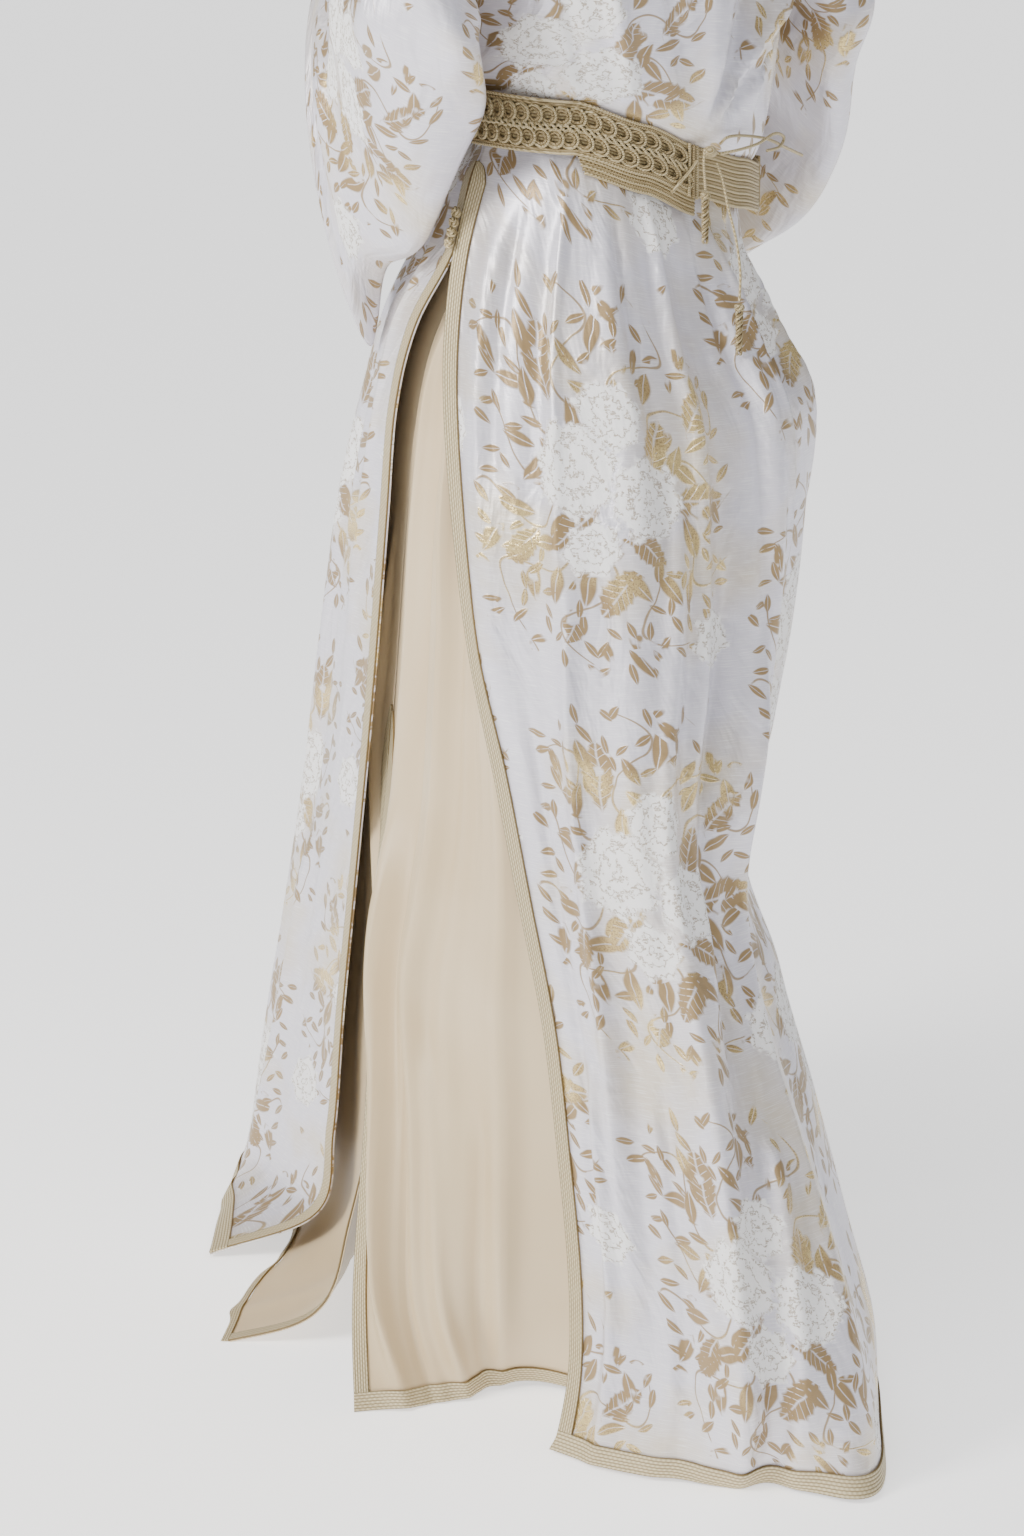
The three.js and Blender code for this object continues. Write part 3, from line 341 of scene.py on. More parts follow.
class Panel:
    def __init__(self, rows, folds, side, inset=0.0):
        self.rows, self.folds, self.side, self.inset = rows, folds, side, inset
        self.last = len(rows) - 1

    def points(self, acrosses, downs, lift=0.0):
        acrosses, downs = np.broadcast_arrays(acrosses, downs)
        base = surface(self.rows, acrosses, downs)
        a0, a1 = np.clip(acrosses - 0.003, 0, 1), np.clip(acrosses + 0.003, 0, 1)
        d0, d1 = np.clip(downs - 0.03, 0, self.last), np.clip(downs + 0.03, 0, self.last)
        du = surface(self.rows, a1, downs) - surface(self.rows, a0, downs)
        dv = surface(self.rows, acrosses, d1) - surface(self.rows, acrosses, d0)
        n = np.cross(du, dv)
        n /= np.maximum(np.linalg.norm(n, axis=2, keepdims=True), 1e-12)
        m = n[len(n) // 2, n.shape[1] // 2]
        b = base[len(n) // 2, n.shape[1] // 2]
        if m[0] * b[0] + m[1] * (b[1] - 0.02 * self.side) < 0:
            n = -n
        height = base[..., 2] / MM + HELD_HEIGHT
        return base + n * (
            rises(self.folds, acrosses, height) + lift - self.inset)[..., None]

    def widths(self, downs):
        p = surface(self.rows, np.linspace(0, 1, 40)[None, :], downs[:, None])
        return np.linalg.norm(np.diff(p, axis=1), axis=2).sum(1)

    def places_from_edge(self, downs, distances, left):
        """The place across at each distance in from the slit, for each row."""
        across = np.linspace(0, 0.4, 240)
        if not left:
            across = 1 - across
        p = surface(self.rows, across[None, :], downs[:, None])
        total = np.cumsum(np.linalg.norm(np.diff(p, axis=1), axis=2), axis=1)
        total = np.hstack([np.zeros((len(downs), 1)), total])
        return np.array([np.interp(distances[k], total[k], across) for k in range(len(downs))])

    def rows_above_hem(self, distances, acrosses):
        """The row number at each distance up from the hem, for each place across."""
        downs = np.linspace(self.last, self.last - 1.5, 300)
        p = surface(self.rows, acrosses[None, :], downs[:, None])
        total = np.cumsum(np.linalg.norm(np.diff(p, axis=0), axis=2), axis=0)
        total = np.vstack([np.zeros(len(acrosses)), total])
        return np.array([np.interp(distances, total[:, j], downs)
                         for j in range(len(acrosses))]).T


def mesh_grid(name, points, uv, closed=False, materials=(), smooth_faces=True):
    """A named mesh from a grid of points with a UV map in metres."""
    rows, cols = points.shape[:2]
    faces, corner_uv = [], []
    last = cols if closed else cols - 1
    for r in range(rows - 1):
        for c in range(last):
            d = (c + 1) % cols
            faces.append((r * cols + c, (r + 1) * cols + c, (r + 1) * cols + d, r * cols + d))
            e = c + 1
            corner_uv += [uv[r, c], uv[r + 1, c], uv[r + 1, e], uv[r, e]]
    mesh = bpy.data.meshes.new(name)
    mesh.from_pydata(points.reshape(-1, 3).tolist(), [], faces)
    layer = mesh.uv_layers.new(name="flat")
    layer.data.foreach_set("uv", np.array(corner_uv, dtype=np.float32).ravel())
    for material in materials:
        mesh.materials.append(material)
    if smooth_faces:
        mesh.polygons.foreach_set("use_smooth", [True] * len(mesh.polygons))
    obj = bpy.data.objects.new(name, mesh)
    bpy.context.collection.objects.link(obj)
    return obj


def face_outwards(obj, direction):
    """Turns the faces of an open sheet if they look against the direction at their middle."""
    mesh = obj.data
    total = 0.0
    for polygon in mesh.polygons:
        total += polygon.normal.dot(direction(polygon.center)) * polygon.area
    if total < 0:
        mesh.flip_normals()


def flat_uv(points, closed=False):
    """Arc length across from the middle line, and down, in metres."""
    across = np.linalg.norm(np.diff(points, axis=1), axis=2)
    u = np.concatenate([np.zeros((len(points), 1)), np.cumsum(across, axis=1)], axis=1)
    if closed:
        gap = np.linalg.norm(points[:, 0] - points[:, -1], axis=1)
        u = np.concatenate([u, (u[:, -1] + gap)[:, None]], axis=1)
    u = u - u[:, -1:] / 2
    middle = points[:, points.shape[1] // 2]
    v = np.concatenate([[0], np.cumsum(np.linalg.norm(np.diff(middle, axis=0), axis=1))])
    return np.stack([u, np.repeat(-v[:, None], u.shape[1], axis=1)], axis=2)


def grid_area(p):
    a, b, c, d = p[:-1, :-1], p[1:, :-1], p[1:, 1:], p[:-1, 1:]
    first = np.linalg.norm(np.cross(b - a, c - a), axis=2).sum() / 2
    second = np.linalg.norm(np.cross(c - a, d - a), axis=2).sum() / 2
    return float(first + second)


def solidify(obj, thickness, offset=-1.0, inside=0):
    modifier = obj.modifiers.new("wall", "SOLIDIFY")
    modifier.thickness = thickness
    modifier.offset = offset
    modifier.material_offset = inside
    modifier.use_even_offset = False


# ---- shader helper -------------------------------------------------------
class Value:
    """A socket that takes part in sums."""

    def __init__(self, tree, socket):
        self.tree, self.socket = tree, socket

    def _math(self, operation, *values):
        node = self.tree.nodes.new("ShaderNodeMath")
        node.operation = operation
        for i, value in enumerate(values):
            if isinstance(value, Value):
                self.tree.links.new(value.socket, node.inputs[i])
            else:
                node.inputs[i].default_value = value
        return Value(self.tree, node.outputs[0])

    def __add__(self, other):
        return self._math("ADD", self, other)

    __radd__ = __add__

    def __sub__(self, other):
        return self._math("SUBTRACT", self, other)

    def __rsub__(self, other):
        return self._math("SUBTRACT", other, self)

    def __mul__(self, other):
        return self._math("MULTIPLY", self, other)

    __rmul__ = __mul__

    def __truediv__(self, other):
        return self._math("DIVIDE", self, other)

    def __abs__(self):
        return self._math("ABSOLUTE", self)

    def op(self, operation, *others):
        return self._math(operation, self, *others)

    def madd(self, times, plus):
        return self._math("MULTIPLY_ADD", self, times, plus)

    def clamp(self):
        return self._math("MINIMUM", self._math("MAXIMUM", self, 0.0), 1.0)


class Shader:
    """A material whose nodes are made one method at a time."""

    def __init__(self, name):
        self.material = bpy.data.materials.new(name)
        self.material.use_nodes = True
        self.tree = self.material.node_tree
        self.surface = self.tree.nodes["Principled BSDF"]

    def node(self, kind, settings=(), inputs=(), output=0):
        node = self.tree.nodes.new(kind)
        for key, value in dict(settings).items():
            setattr(node, key, value)
        for key, value in dict(inputs).items():
            if isinstance(value, Value):
                self.tree.links.new(value.socket, node.inputs[key])
            else:
                node.inputs[key].default_value = value
        return Value(self.tree, node.outputs[output])

    def flat(self):
        place = self.node("ShaderNodeUVMap", {"uv_map": "flat"})
        u, v, _ = self.split(place)
        return u, v, place

    def split(self, vector):
        parts = self.tree.nodes.new("ShaderNodeSeparateXYZ")
        self.tree.links.new(vector.socket, parts.inputs[0])
        return [Value(self.tree, output) for output in parts.outputs]

    def mix(self, factor, a, b):
        return self.node("ShaderNodeMix", {"data_type": "RGBA"},
                         {0: factor, 6: a, 7: b}, output=2)

    def set(self, name, value):
        if isinstance(value, Value):
            self.tree.links.new(value.socket, self.surface.inputs[name])
        else:
            self.surface.inputs[name].default_value = value

    def bump(self, height, distance, strength=1.0):
        bump = self.node("ShaderNodeBump", {}, {
            "Height": height, "Distance": distance, "Strength": strength})
        self.set("Normal", bump)


def rgb(code):
    """A colour as shown, made linear."""
    parts = [int(code[i:i + 2], 16) / 255 for i in (1, 3, 5)]
    return (*[p / 12.92 if p <= 0.04045 else ((p + 0.055) / 1.055) ** 2.4 for p in parts], 1.0)


# The brocade repeat, in millimetres, and what grows in it: [x, y, radius] of each flower.
REPEAT_WIDTH = 262.0
REPEAT_HEIGHT = 336.0
CLUSTER = (-4.0, 8.0)
FLOWERS = [[-32, 20, 43], [32, -6, 38], [6, 60, 31], [98, -126, 30], [-18, -44, 28]]
# Leaf sizes: cell they grow in, half length, half width, saw teeth, ring they grow in.
LEAVES = [
    [58.0, 32.0, 15.5, 0.13, 0.0, 112.0],
    [33.0, 18.0, 7.6, 0.0, 40.0, 126.0],
    [20.0, 10.5, 3.9, 0.0, 84.0, 146.0],
]


def leaf_layer(shader, local, size, wander):
    cell, half_length, half_width, teeth, inner, outer = size
    voronoi = {"voronoi_dimensions": "2D"}
    sockets = {"Vector": local, "Scale": 1 / cell, "Randomness": 0.85}
    centre = shader.node("ShaderNodeTexVoronoi", voronoi, sockets, output=2)
    tint = shader.node("ShaderNodeTexVoronoi", voronoi, sockets, output=1)
    offset = shader.node("ShaderNodeVectorMath", {"operation": "SUBTRACT"}, {0: local, 1: centre})
    dx, dy, _ = shader.split(offset)
    px, py, _ = shader.split(centre)
    chance, second, _ = shader.split(tint)
    room_x = REPEAT_WIDTH / 2 - half_length * 1.05 - abs(px)
    room_y = REPEAT_HEIGHT / 2 - half_length * 1.05 - abs(py)
    whole = (room_x.op("MINIMUM", room_y) * 20.0).clamp()
    px, py = px - CLUSTER[0], py - CLUSTER[1]
    angle = py.op("ARCTAN2", px) + (chance - 0.5) * 2.2
    c, s = angle.op("COSINE"), angle.op("SINE")
    grow = second * 0.35 + 0.75
    along = (dx * c + dy * s) / (grow * half_length)
    side = abs(dy * c - dx * s) / (grow * half_width)
    body = 1.0 - along * along - side
    if teeth:
        body = body - abs((along * 13.0).op("SINE")) * teeth
        veins = abs(((along * 5.0 - side * 1.6).op("FRACT")) - 0.5)
        inside = (body * 6.0).clamp() * ((0.47 - veins) * 14.0 + 0.35).clamp()
    else:
        inside = (body * 4.0).clamp()
    inside = inside * (side.madd(9.0, 0.1)).clamp()
    reach = (px * px + py * py * 0.8).op("SQRT") + wander
    ring = ((reach - inner) * 0.2).clamp() * ((outer - reach) * 0.2).clamp()
    return inside * ring * whole


def brocade(name, ground, sheen_tint, leaf, glint_colour, rose, dash):
    shader = Shader(name)
    u, v, place = shader.flat()
    wobble = shader.node("ShaderNodeTexNoise", {}, {"Vector": place, "Scale": 22.0, "Detail": 2.0})
    x = u * 1000.0 + (wobble - 0.5) * 12.0
    y = v * 1000.0 - (wobble - 0.5) * 10.0
    column = (x / REPEAT_WIDTH).op("FLOOR")
    drop = column.op("FLOORED_MODULO", 2.0) * (REPEAT_HEIGHT / 2)
    x = x.op("FLOORED_MODULO", REPEAT_WIDTH) - REPEAT_WIDTH / 2
    y = (y + drop).op("FLOORED_MODULO", REPEAT_HEIGHT) - REPEAT_HEIGHT / 2
    local = shader.node("ShaderNodeCombineXYZ", {}, {0: x, 1: y, 2: 0.0})
    rough = shader.node("ShaderNodeTexNoise", {}, {"Vector": local, "Scale": 0.035, "Detail": 2.0})
    wander = (rough - 0.5) * 120.0

    leaves = None
    for size in LEAVES:
        mask = leaf_layer(shader, local, size, wander)
        leaves = mask if leaves is None else leaves.op("MAXIMUM", mask)
    sx, sy = x - CLUSTER[0], y - CLUSTER[1]
    radius = (sx * sx + sy * sy * 0.8).op("SQRT")
    turn = sy.op("ARCTAN2", sx) * 5.5 + (radius * 0.07).op("SINE") * 1.3
    stems = (1.7 - abs(turn.op("SINE")) * radius / 5.5).clamp()
    stems = stems * ((radius - 46.0) * 0.2).clamp() * ((136.0 - radius - wander) * 0.2).clamp()
    stems = stems * ((REPEAT_WIDTH / 2 - 6 - abs(x)) * 0.2).clamp()
    stems = stems * ((REPEAT_HEIGHT / 2 - 6 - abs(y)) * 0.2).clamp()
    leaves = leaves.op("MAXIMUM", stems * 0.9)

    swirl_noise = shader.node("ShaderNodeTexNoise", {}, {
        "Vector": local, "Scale": 0.16, "Detail": 2.0})
    fine = shader.node("ShaderNodeTexNoise", {}, {"Vector": place, "Scale": 700.0, "Detail": 1.0})
    roses = lines = None
    for cx, cy, size in FLOWERS:
        dx, dy = x - float(cx), y - float(cy)
        r = (dx * dx + dy * dy).op("SQRT") / float(size)
        angle = dy.op("ARCTAN2", dx)
        edge = 1.0 - abs((angle * 3.5 + float(cx)).op("SINE")) * 0.16 + (swirl_noise - 0.5) * 0.5
        mask = ((edge - r) * 9.0).clamp()
        petals = (r * 17.0 + (swirl_noise - 0.5) * 15.0 + (angle * 3.0).op("SINE")).op("SINE")
        line = mask * ((petals - 0.55) * 4.0).clamp()
        roses = mask if roses is None else roses.op("MAXIMUM", mask)
        lines = line if lines is None else lines.op("MAXIMUM", line)
    leaves = leaves * (1.0 - roses)

    slub_place = shader.node("ShaderNodeVectorMath", {"operation": "MULTIPLY"},
                             {0: place, 1: (55.0, 1500.0, 0.0)})
    slub = shader.node("ShaderNodeTexNoise", {}, {"Vector": slub_place, "Scale": 1.0, "Detail": 1.0})
    crinkle_place = shader.node("ShaderNodeVectorMath", {"operation": "MULTIPLY"},
                                {0: place, 1: (26.0, 11.0, 0.0)})
    crinkle = shader.node("ShaderNodeTexNoise", {}, {
        "Vector": crinkle_place, "Scale": 1.0, "Detail": 3.0, "Distortion": 0.6})
    shine = shader.node("ShaderNodeTexNoise", {}, {"Vector": place, "Scale": 9.0, "Detail": 3.0})
    # Broad pale gold patches on the silver ground, laid by the shine noise: a painted reflection of gold
    # sheen.
    gold_sheen = ((shine - 0.46) * 5.0).clamp()
    base = shader.mix(gold_sheen * 0.75, rgb(ground), rgb(sheen_tint))
    base = shader.mix(((slub - 0.52) * 5.0).clamp() * 0.5, base, rgb("#FFFFFF"))
    # Where the glint mask rises the leaves turn bright gold: a painted highlight of foil glints; the extra
    # metallic there is the foil's own.
    glint = ((shine - 0.52) * 9.0).clamp() * ((fine - 0.36) * 6.0).clamp()
    gold = shader.mix(glint, rgb(leaf), rgb(glint_colour))
    colour = shader.mix(roses * 0.9, base, rgb(rose))
    dashes = lines * ((slub * 0.5 + fine * 0.5 - 0.42) * 9.0).clamp()
    colour = shader.mix(dashes * 0.75, colour, rgb(dash))
    colour = shader.mix(leaves * 0.95, colour, gold)
    shader.set("Base Color", colour)
    shader.set("Roughness", 0.41 - leaves * (glint * 0.14 + 0.04) + roses * 0.22)
    shader.set("Metallic", leaves * (glint * 0.4 + 0.3) + (1.0 - leaves) * (1.0 - roses) * 0.34)
    shader.set("Sheen Weight", 0.1)
    height = (crinkle * 0.0075 + slub * 0.00018 + leaves * 0.00025 + fine * 0.0001
              + roses * (swirl_noise * 0.0006) + lines * 0.0003)
    shader.bump(height, 1.0, 0.75)
    return shader.material


def plain_cloth(name, light, dark, roughness, scale=9.0, sheen=0.2):
    shader = Shader(name)
    u, v, place = shader.flat()
    cloud = shader.node("ShaderNodeTexNoise", {}, {"Vector": place, "Scale": scale, "Detail": 2.0})
    weave = (u * (2 * math.pi / 0.0009)).op("SINE") * (v * (2 * math.pi / 0.0009)).op("SINE")
    shader.set("Base Color", shader.mix(cloud, rgb(light), rgb(dark)))
    shader.set("Roughness", roughness + (cloud - 0.5) * 0.1)
    shader.set("Sheen Weight", sheen)
    shader.bump(weave, 0.00008, 0.4)
    return shader.material


def braid_cloth(name, ribs, light, gap, shine):
    """Parallel chain-stitched cords with painted shade between them and a painted highlight on their crests:
    the UV map runs 0 to 1 across and in metres along.
    """
    shader = Shader(name)
    u, v, place = shader.flat()
    across = abs((u * (math.pi * ribs)).op("SINE"))
    shift = (u * ribs).op("FLOOR").op("FLOORED_MODULO", 2.0) * math.pi
    stitch = (v * (2 * math.pi / 0.0042) + shift).op("SINE") * 0.5 + 0.5
    cord = (across * (stitch * 0.5 + 0.6)).clamp()
    # Dark in the gaps and down the sides of each cord, light on its crest and brightest at the top: painted
    # shade between the cords and a painted highlight on them.
    colour = shader.mix((cord * 1.5).clamp(), rgb(gap), rgb(light))
    colour = shader.mix(((cord - 0.8) * 4.0).clamp() * 0.6, colour, rgb(shine))
    shader.set("Base Color", colour)
    shader.set("Roughness", 0.62 - cord * 0.2)
    shader.set("Metallic", cord * 0.25)
    shader.bump(cord, 0.0008, 0.8)
    return shader.material


def cord_cloth(name, light, dark):
    """Twisted silk cord, read in object space so that it suits any small piece."""
    shader = Shader(name)
    place = shader.node("ShaderNodeTexCoord", {}, {}, output=3)
    twist = shader.node("ShaderNodeTexWave", {"bands_direction": "DIAGONAL"},
                        {"Vector": place, "Scale": 320.0, "Distortion": 2.0}, output=1)
    shader.set("Base Color", shader.mix(twist, rgb(dark), rgb(light)))
    shader.set("Roughness", 0.6 - twist * 0.15)
    shader.set("Metallic", 0.2)
    shader.bump(twist, 0.0004, 0.7)
    return shader.material


# The bright gold "#F2D894" is the painted highlight of foil glints on the leaves.
# The cream "#D8CBB2" is the painted gold sheen on the brocade ground.
BROCADE = brocade("brocade", "#DCD9E3", "#D8CBB2", "#94794A", "#F2D894", "#F7F6F5", "#8C7654")
# The inner shells are darker and greyer than the faces: painted shade of the robe's shadowed inside, over the
# reverse's duller finish.
BROCADE_INSIDE = plain_cloth("brocade_inside_shade", "#8E8275", "#776B60", 0.7)
SATIN = plain_cloth("satin", "#E1CEAC", "#C8AF84", 0.30, 6.0, 0.05)
SATIN_INSIDE = plain_cloth("satin_inside_shade", "#C9BBA4", "#AD9D84", 0.5)
# The second colour of the braid and the belt ground is painted shade between the cords, the third a painted
# highlight.
BRAID = braid_cloth("braid", 6, "#C9BA94", "#7D6942", "#E6DABA")
BELT = braid_cloth("belt_ground", 14, "#9C8A62", "#5E4D2E", "#BFAF86")
CORD_LIGHT = cord_cloth("cord_light", "#CDBE97", "#8F7C54")
CORD_BROWN = cord_cloth("cord_brown", "#B3A077", "#6E5B38")

# ---- camera --------------------------------------------------------------
CAMERA_AZIMUTH = math.radians(140)
CAMERA_DISTANCE = 3.2
CAMERA_HEIGHT = 0.005
CAMERA_PITCH = math.radians(16.4)
FRAME_HEIGHT = 1536
FOCAL_PIXELS = 3793
SHIFT_PIXELS = -93

data = bpy.data.cameras.new("camera")
data.sensor_fit = "VERTICAL"
data.angle = 2 * math.atan(FRAME_HEIGHT / 2 / FOCAL_PIXELS)
data.shift_x = SHIFT_PIXELS / FRAME_HEIGHT
data.clip_end = 60
camera = bpy.data.objects.new("camera", data)
bpy.context.collection.objects.link(camera)
towards = Vector((math.sin(CAMERA_AZIMUTH), -math.cos(CAMERA_AZIMUTH), 0))
camera.location = towards * CAMERA_DISTANCE + Vector((0, 0, CAMERA_HEIGHT))
looking = -towards * math.cos(CAMERA_PITCH) - Vector((0, 0, math.sin(CAMERA_PITCH)))
camera.rotation_euler = looking.to_track_quat("-Z", "Y").to_euler()
bpy.context.scene.camera = camera


# ---- free cords ----------------------------------------------------------
def route(points, count):
    stations = np.array(points, float)
    stations[:, 2] -= HELD_HEIGHT
    return run(stations, np.linspace(0, len(points) - 1, count)) * MM


def free_cord(name, points, diameter, replaced):
    line = route(points, 28)
    curve = bpy.data.curves.new(name, "CURVE")
    curve.dimensions = "3D"
    curve.bevel_depth = diameter / 2
    curve.bevel_resolution = 3
    curve.use_fill_caps = True
    spline = curve.splines.new("POLY")
    spline.points.add(len(line) - 1)
    for point, place in zip(spline.points, line):
        point.co = (*place, 1)
    curve.materials.append(CORD_LIGHT)
    obj = bpy.data.objects.new(name, curve)
    bpy.context.collection.objects.link(obj)
    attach(obj, "root")
    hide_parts(replaced)
    return obj


def tube_mesh(name, lines, radius, materials, picks, sides=7):
    """Several round cords as one mesh, each line an array of points."""
    vertices, faces, indices = [], [], []
    turns = np.linspace(0, 2 * math.pi, sides, endpoint=False)
    for line, pick in zip(lines, picks):
        tangent = np.gradient(line, axis=0)
        tangent /= np.linalg.norm(tangent, axis=1, keepdims=True)
        side = np.cross(tangent[0], [0.31, 0.52, 0.79])
        start = len(vertices)
        for k in range(len(line)):
            side = side - tangent[k] * side.dot(tangent[k])
            side = side / np.linalg.norm(side)
            other = np.cross(tangent[k], side)
            for turn in turns:
                place = line[k] + (side * math.cos(turn) + other * math.sin(turn)) * radius
                vertices.append(place.tolist())
        for k in range(len(line) - 1):
            for j in range(sides):
                a, b = start + k * sides + j, start + k * sides + (j + 1) % sides
                faces.append((a, b, b + sides, a + sides))
                indices.append(pick)
        end = start + (len(line) - 1) * sides
        faces.append(tuple(start + j for j in reversed(range(sides))))
        faces.append(tuple(end + j for j in range(sides)))
        indices += [pick, pick]
    mesh = bpy.data.meshes.new(name)
    mesh.from_pydata(vertices, [], faces)
    for material in materials:
        mesh.materials.append(material)
    mesh.polygons.foreach_set("material_index", indices)
    mesh.polygons.foreach_set("use_smooth", [True] * len(mesh.polygons))
    obj = bpy.data.objects.new(name, mesh)
    bpy.context.collection.objects.link(obj)
    return obj


def placed(obj, node):
    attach(obj, "root")
    if node:
        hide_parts(node)
    return obj


def knot_button(name, node):
    """A round knot of one cord, in the place of its solid."""
    low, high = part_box(node)
    centre = np.array((low + high) / 2)
    t = np.linspace(0, 2 * math.pi, 90)
    ring = 2.7 + 1.25 * np.cos(5 * t)
    line = np.stack([ring * np.cos(3 * t), 1.9 * np.sin(5 * t), ring * np.sin(3 * t)], axis=1)
    outward = math.atan2(centre[1], centre[0]) - math.pi / 2
    c, s = math.cos(outward), math.sin(outward)
    turned = np.stack([line[:, 0] * c - line[:, 1] * s, line[:, 0] * s + line[:, 1] * c,
                       line[:, 2]], axis=1)
    return placed(tube_mesh(name, [centre + turned * MM], 0.00125, [CORD_LIGHT], [0], 6),
                  node)


def plaited_tassel(name, node):
    """A chain of knots: three cords plaited down the place of its solid."""
    low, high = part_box(node)
    centre = (np.array(low) + np.array(high)) / 2
    length = high[2] - low[2]
    t = np.linspace(0, 1, 140)
    lines = []
    for strand in range(2):
        w = math.pi * (t * 6 + strand)
        lines.append(np.stack([
            centre[0] + 0.0031 * np.sin(w) * (1 - 0.25 * t), centre[1] + 0.0013 * np.cos(w),
            high[2] - 0.005 - (length - 0.006) * t], axis=1))
        lines.append(lines[-1] * [1, 1, 1] + [0, 0, 0.0026])
    a = np.linspace(0, 2 * math.pi, 80)
    ring = 2.4 + 1.0 * np.cos(5 * a)
    lines.append(centre * [1, 1, 0] + [0, 0, high[2] - 0.004] + np.stack([
        ring * np.cos(3 * a), ring * np.sin(3 * a), 1.8 * np.sin(5 * a)], axis=1) * MM)
    return placed(tube_mesh(name, lines, 0.00112, [CORD_LIGHT, CORD_BROWN], [0, 1, 0, 1, 0], 6),
                  node)


for side in ("left", "right"):
    for number in (1, 2, 3, 4):
        knot_button(f"{side}_knot_{number}", f"{side}_button_{number}")
short_end = plaited_tassel("short_plait", "short_tassel")
long_end = plaited_tassel("long_plait", "long_tassel")
free_cord("binding", BINDING_CORD, TIE_DIAMETER, "tie_binding")
free_cord("free_tie", RIGHT_TIE, TIE_DIAMETER, "tie_cord")
free_cord("free_tie_loop", RIGHT_TIE_LOOP, TIE_DIAMETER, "tie_loop")
free_cord("short_cord", SHORT_TASSEL_CORD, TASSEL_CORD_SIZE,
          "short_tassel_cord")
free_cord("long_cord", LONG_TASSEL_CORD, TASSEL_CORD_SIZE,
          "long_tassel_cord")

# ---- cloth pieces --------------------------------------------------------
back = Panel(OUTER_BACK, BACK_FOLDS + BACK_CREASES, 1)
front = Panel(OUTER_FRONT, FRONT_FOLDS + FRONT_CREASES, -1)
under_back = Panel(UNDER_BACK, UNDER_BACK_FOLDS + UNDER_BACK_CREASES, 1,
                   UNDER_INSET)
under_front = Panel(UNDER_FRONT, UNDER_FRONT_FOLDS + UNDER_FRONT_CREASES, -1,
                    UNDER_INSET)


def away_from_axis(centre):
    return Vector((centre.x, centre.y, 0))


def cloth_panel(name, panel, node, materials, thickness, across_count, down_count):
    downs = np.linspace(0, panel.last, down_count)
    across = np.linspace(0.0004, 0.9996, across_count)
    points = panel.points(across[None, :], downs[:, None])
    obj = mesh_grid(name, points, flat_uv(points), materials=materials)
    face_outwards(obj, away_from_axis)
    solidify(obj, thickness, inside=1)
    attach(obj, "root")
    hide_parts(node)
    obj["cut"] = [float(panel.widths(downs).max()), float(-flat_uv(points)[-1, 0, 1])]
    obj["cut_area"] = grid_area(points)
    return obj


def braid_strip(name, panel, acrosses, downs, along_rows, node):
    """A braid on a panel. Its UV map runs 0 to 1 across the braid and in metres along it."""
    points = panel.points(acrosses, downs, BRAID_LIFT + 0.0016)
    if along_rows:
        steps = np.linalg.norm(np.diff(points[:, 0], axis=0), axis=1)
        v = np.concatenate([[0], np.cumsum(steps)])
        u = np.linspace(0, 1, points.shape[1])
        uv = np.stack(np.meshgrid(u, v), axis=2)
    else:
        steps = np.linalg.norm(np.diff(points[0], axis=0), axis=1)
        v = np.concatenate([[0], np.cumsum(steps)])
        u = np.linspace(0, 1, points.shape[0])
        uu, vv = np.meshgrid(u, v, indexing="ij")
        uv = np.stack([uu, vv], axis=2)
    obj = mesh_grid(name, points, uv, materials=[BRAID])
    face_outwards(obj, away_from_axis)
    solidify(obj, 0.0016)
    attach(obj, "root")
    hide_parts(node)
    return obj


def slit_braid(name, panel, left, first, width, hem_width, node):
    edge = np.array([0.004 if left else 0.996])
    last = float(panel.rows_above_hem([hem_width], edge)[0, 0])
    point = first - SLIT_POINT
    downs = np.linspace(point, last, 300)
    taper = np.sqrt(np.clip((downs - point) / SLIT_POINT, 0.02, 1))
    distances = (taper * width)[:, None] * np.linspace(0.01, 1, 9)[None, :]
    places = panel.places_from_edge(downs, distances, left)
    return braid_strip(name, panel, places, downs[:, None], True, node)


def hem_braid(name, panel, width, node):
    acrosses = np.linspace(0.0004, 0.9996, 300)
    downs = panel.rows_above_hem(np.linspace(width, 0, 9), acrosses)
    return braid_strip(name, panel, acrosses[None, :], downs, False, node)


outer_back = cloth_panel("robe_back", back, "back_panel", [BROCADE, BROCADE_INSIDE],
                         BROCADE_THICKNESS, 130, 240)
outer_front = cloth_panel("robe_front", front, "front_panel", [BROCADE, BROCADE_INSIDE],
                          BROCADE_THICKNESS, 130, 240)
satin_back = cloth_panel("underdress_back", under_back, "under_back_panel",
                         [SATIN, SATIN_INSIDE], SATIN_THICKNESS, 120, 200)
satin_front = cloth_panel("underdress_front", under_front, "under_front_panel",
                          [SATIN, SATIN_INSIDE], SATIN_THICKNESS, 120, 200)

trims = {name: [] for name in ("back", "front", "under_back", "under_front")}
for side, left in (("left", True), ("right", False)):
    for place, panel in (("back", back), ("front", front)):
        trims[place].append(slit_braid(
            f"{side}_slit_edge_{place}", panel, left, 7, SLIT_BRAID, HEM_BRAID,
            f"{side}_slit_braid_{place}"))
    for place, panel in (("back", under_back), ("front", under_front)):
        trims[f"under_{place}"].append(slit_braid(
            f"under_{side}_slit_edge_{place}", panel, left, 6, UNDER_SLIT_BRAID,
            UNDER_HEM_BRAID, f"under_{side}_slit_braid_{place}"))
for key, panel, width in (("back", back, HEM_BRAID), ("front", front, HEM_BRAID),
                          ("under_back", under_back, UNDER_HEM_BRAID),
                          ("under_front", under_front, UNDER_HEM_BRAID)):
    node = f"under_hem_braid_{key[6:]}" if key.startswith("under") else f"hem_braid_{key}"
    trims[key].append(hem_braid(f"{key}_hem_edge", panel, width, node))
for place, panel in (("back", back), ("front", front)):
    strip = braid_strip(f"neck_edge_{place}", panel, np.linspace(0.27, 0.73, 80)[None, :],
                        np.linspace(0, 0.13, 9)[:, None], False, f"neck_braid_{place}")
    trims[place].append(strip)


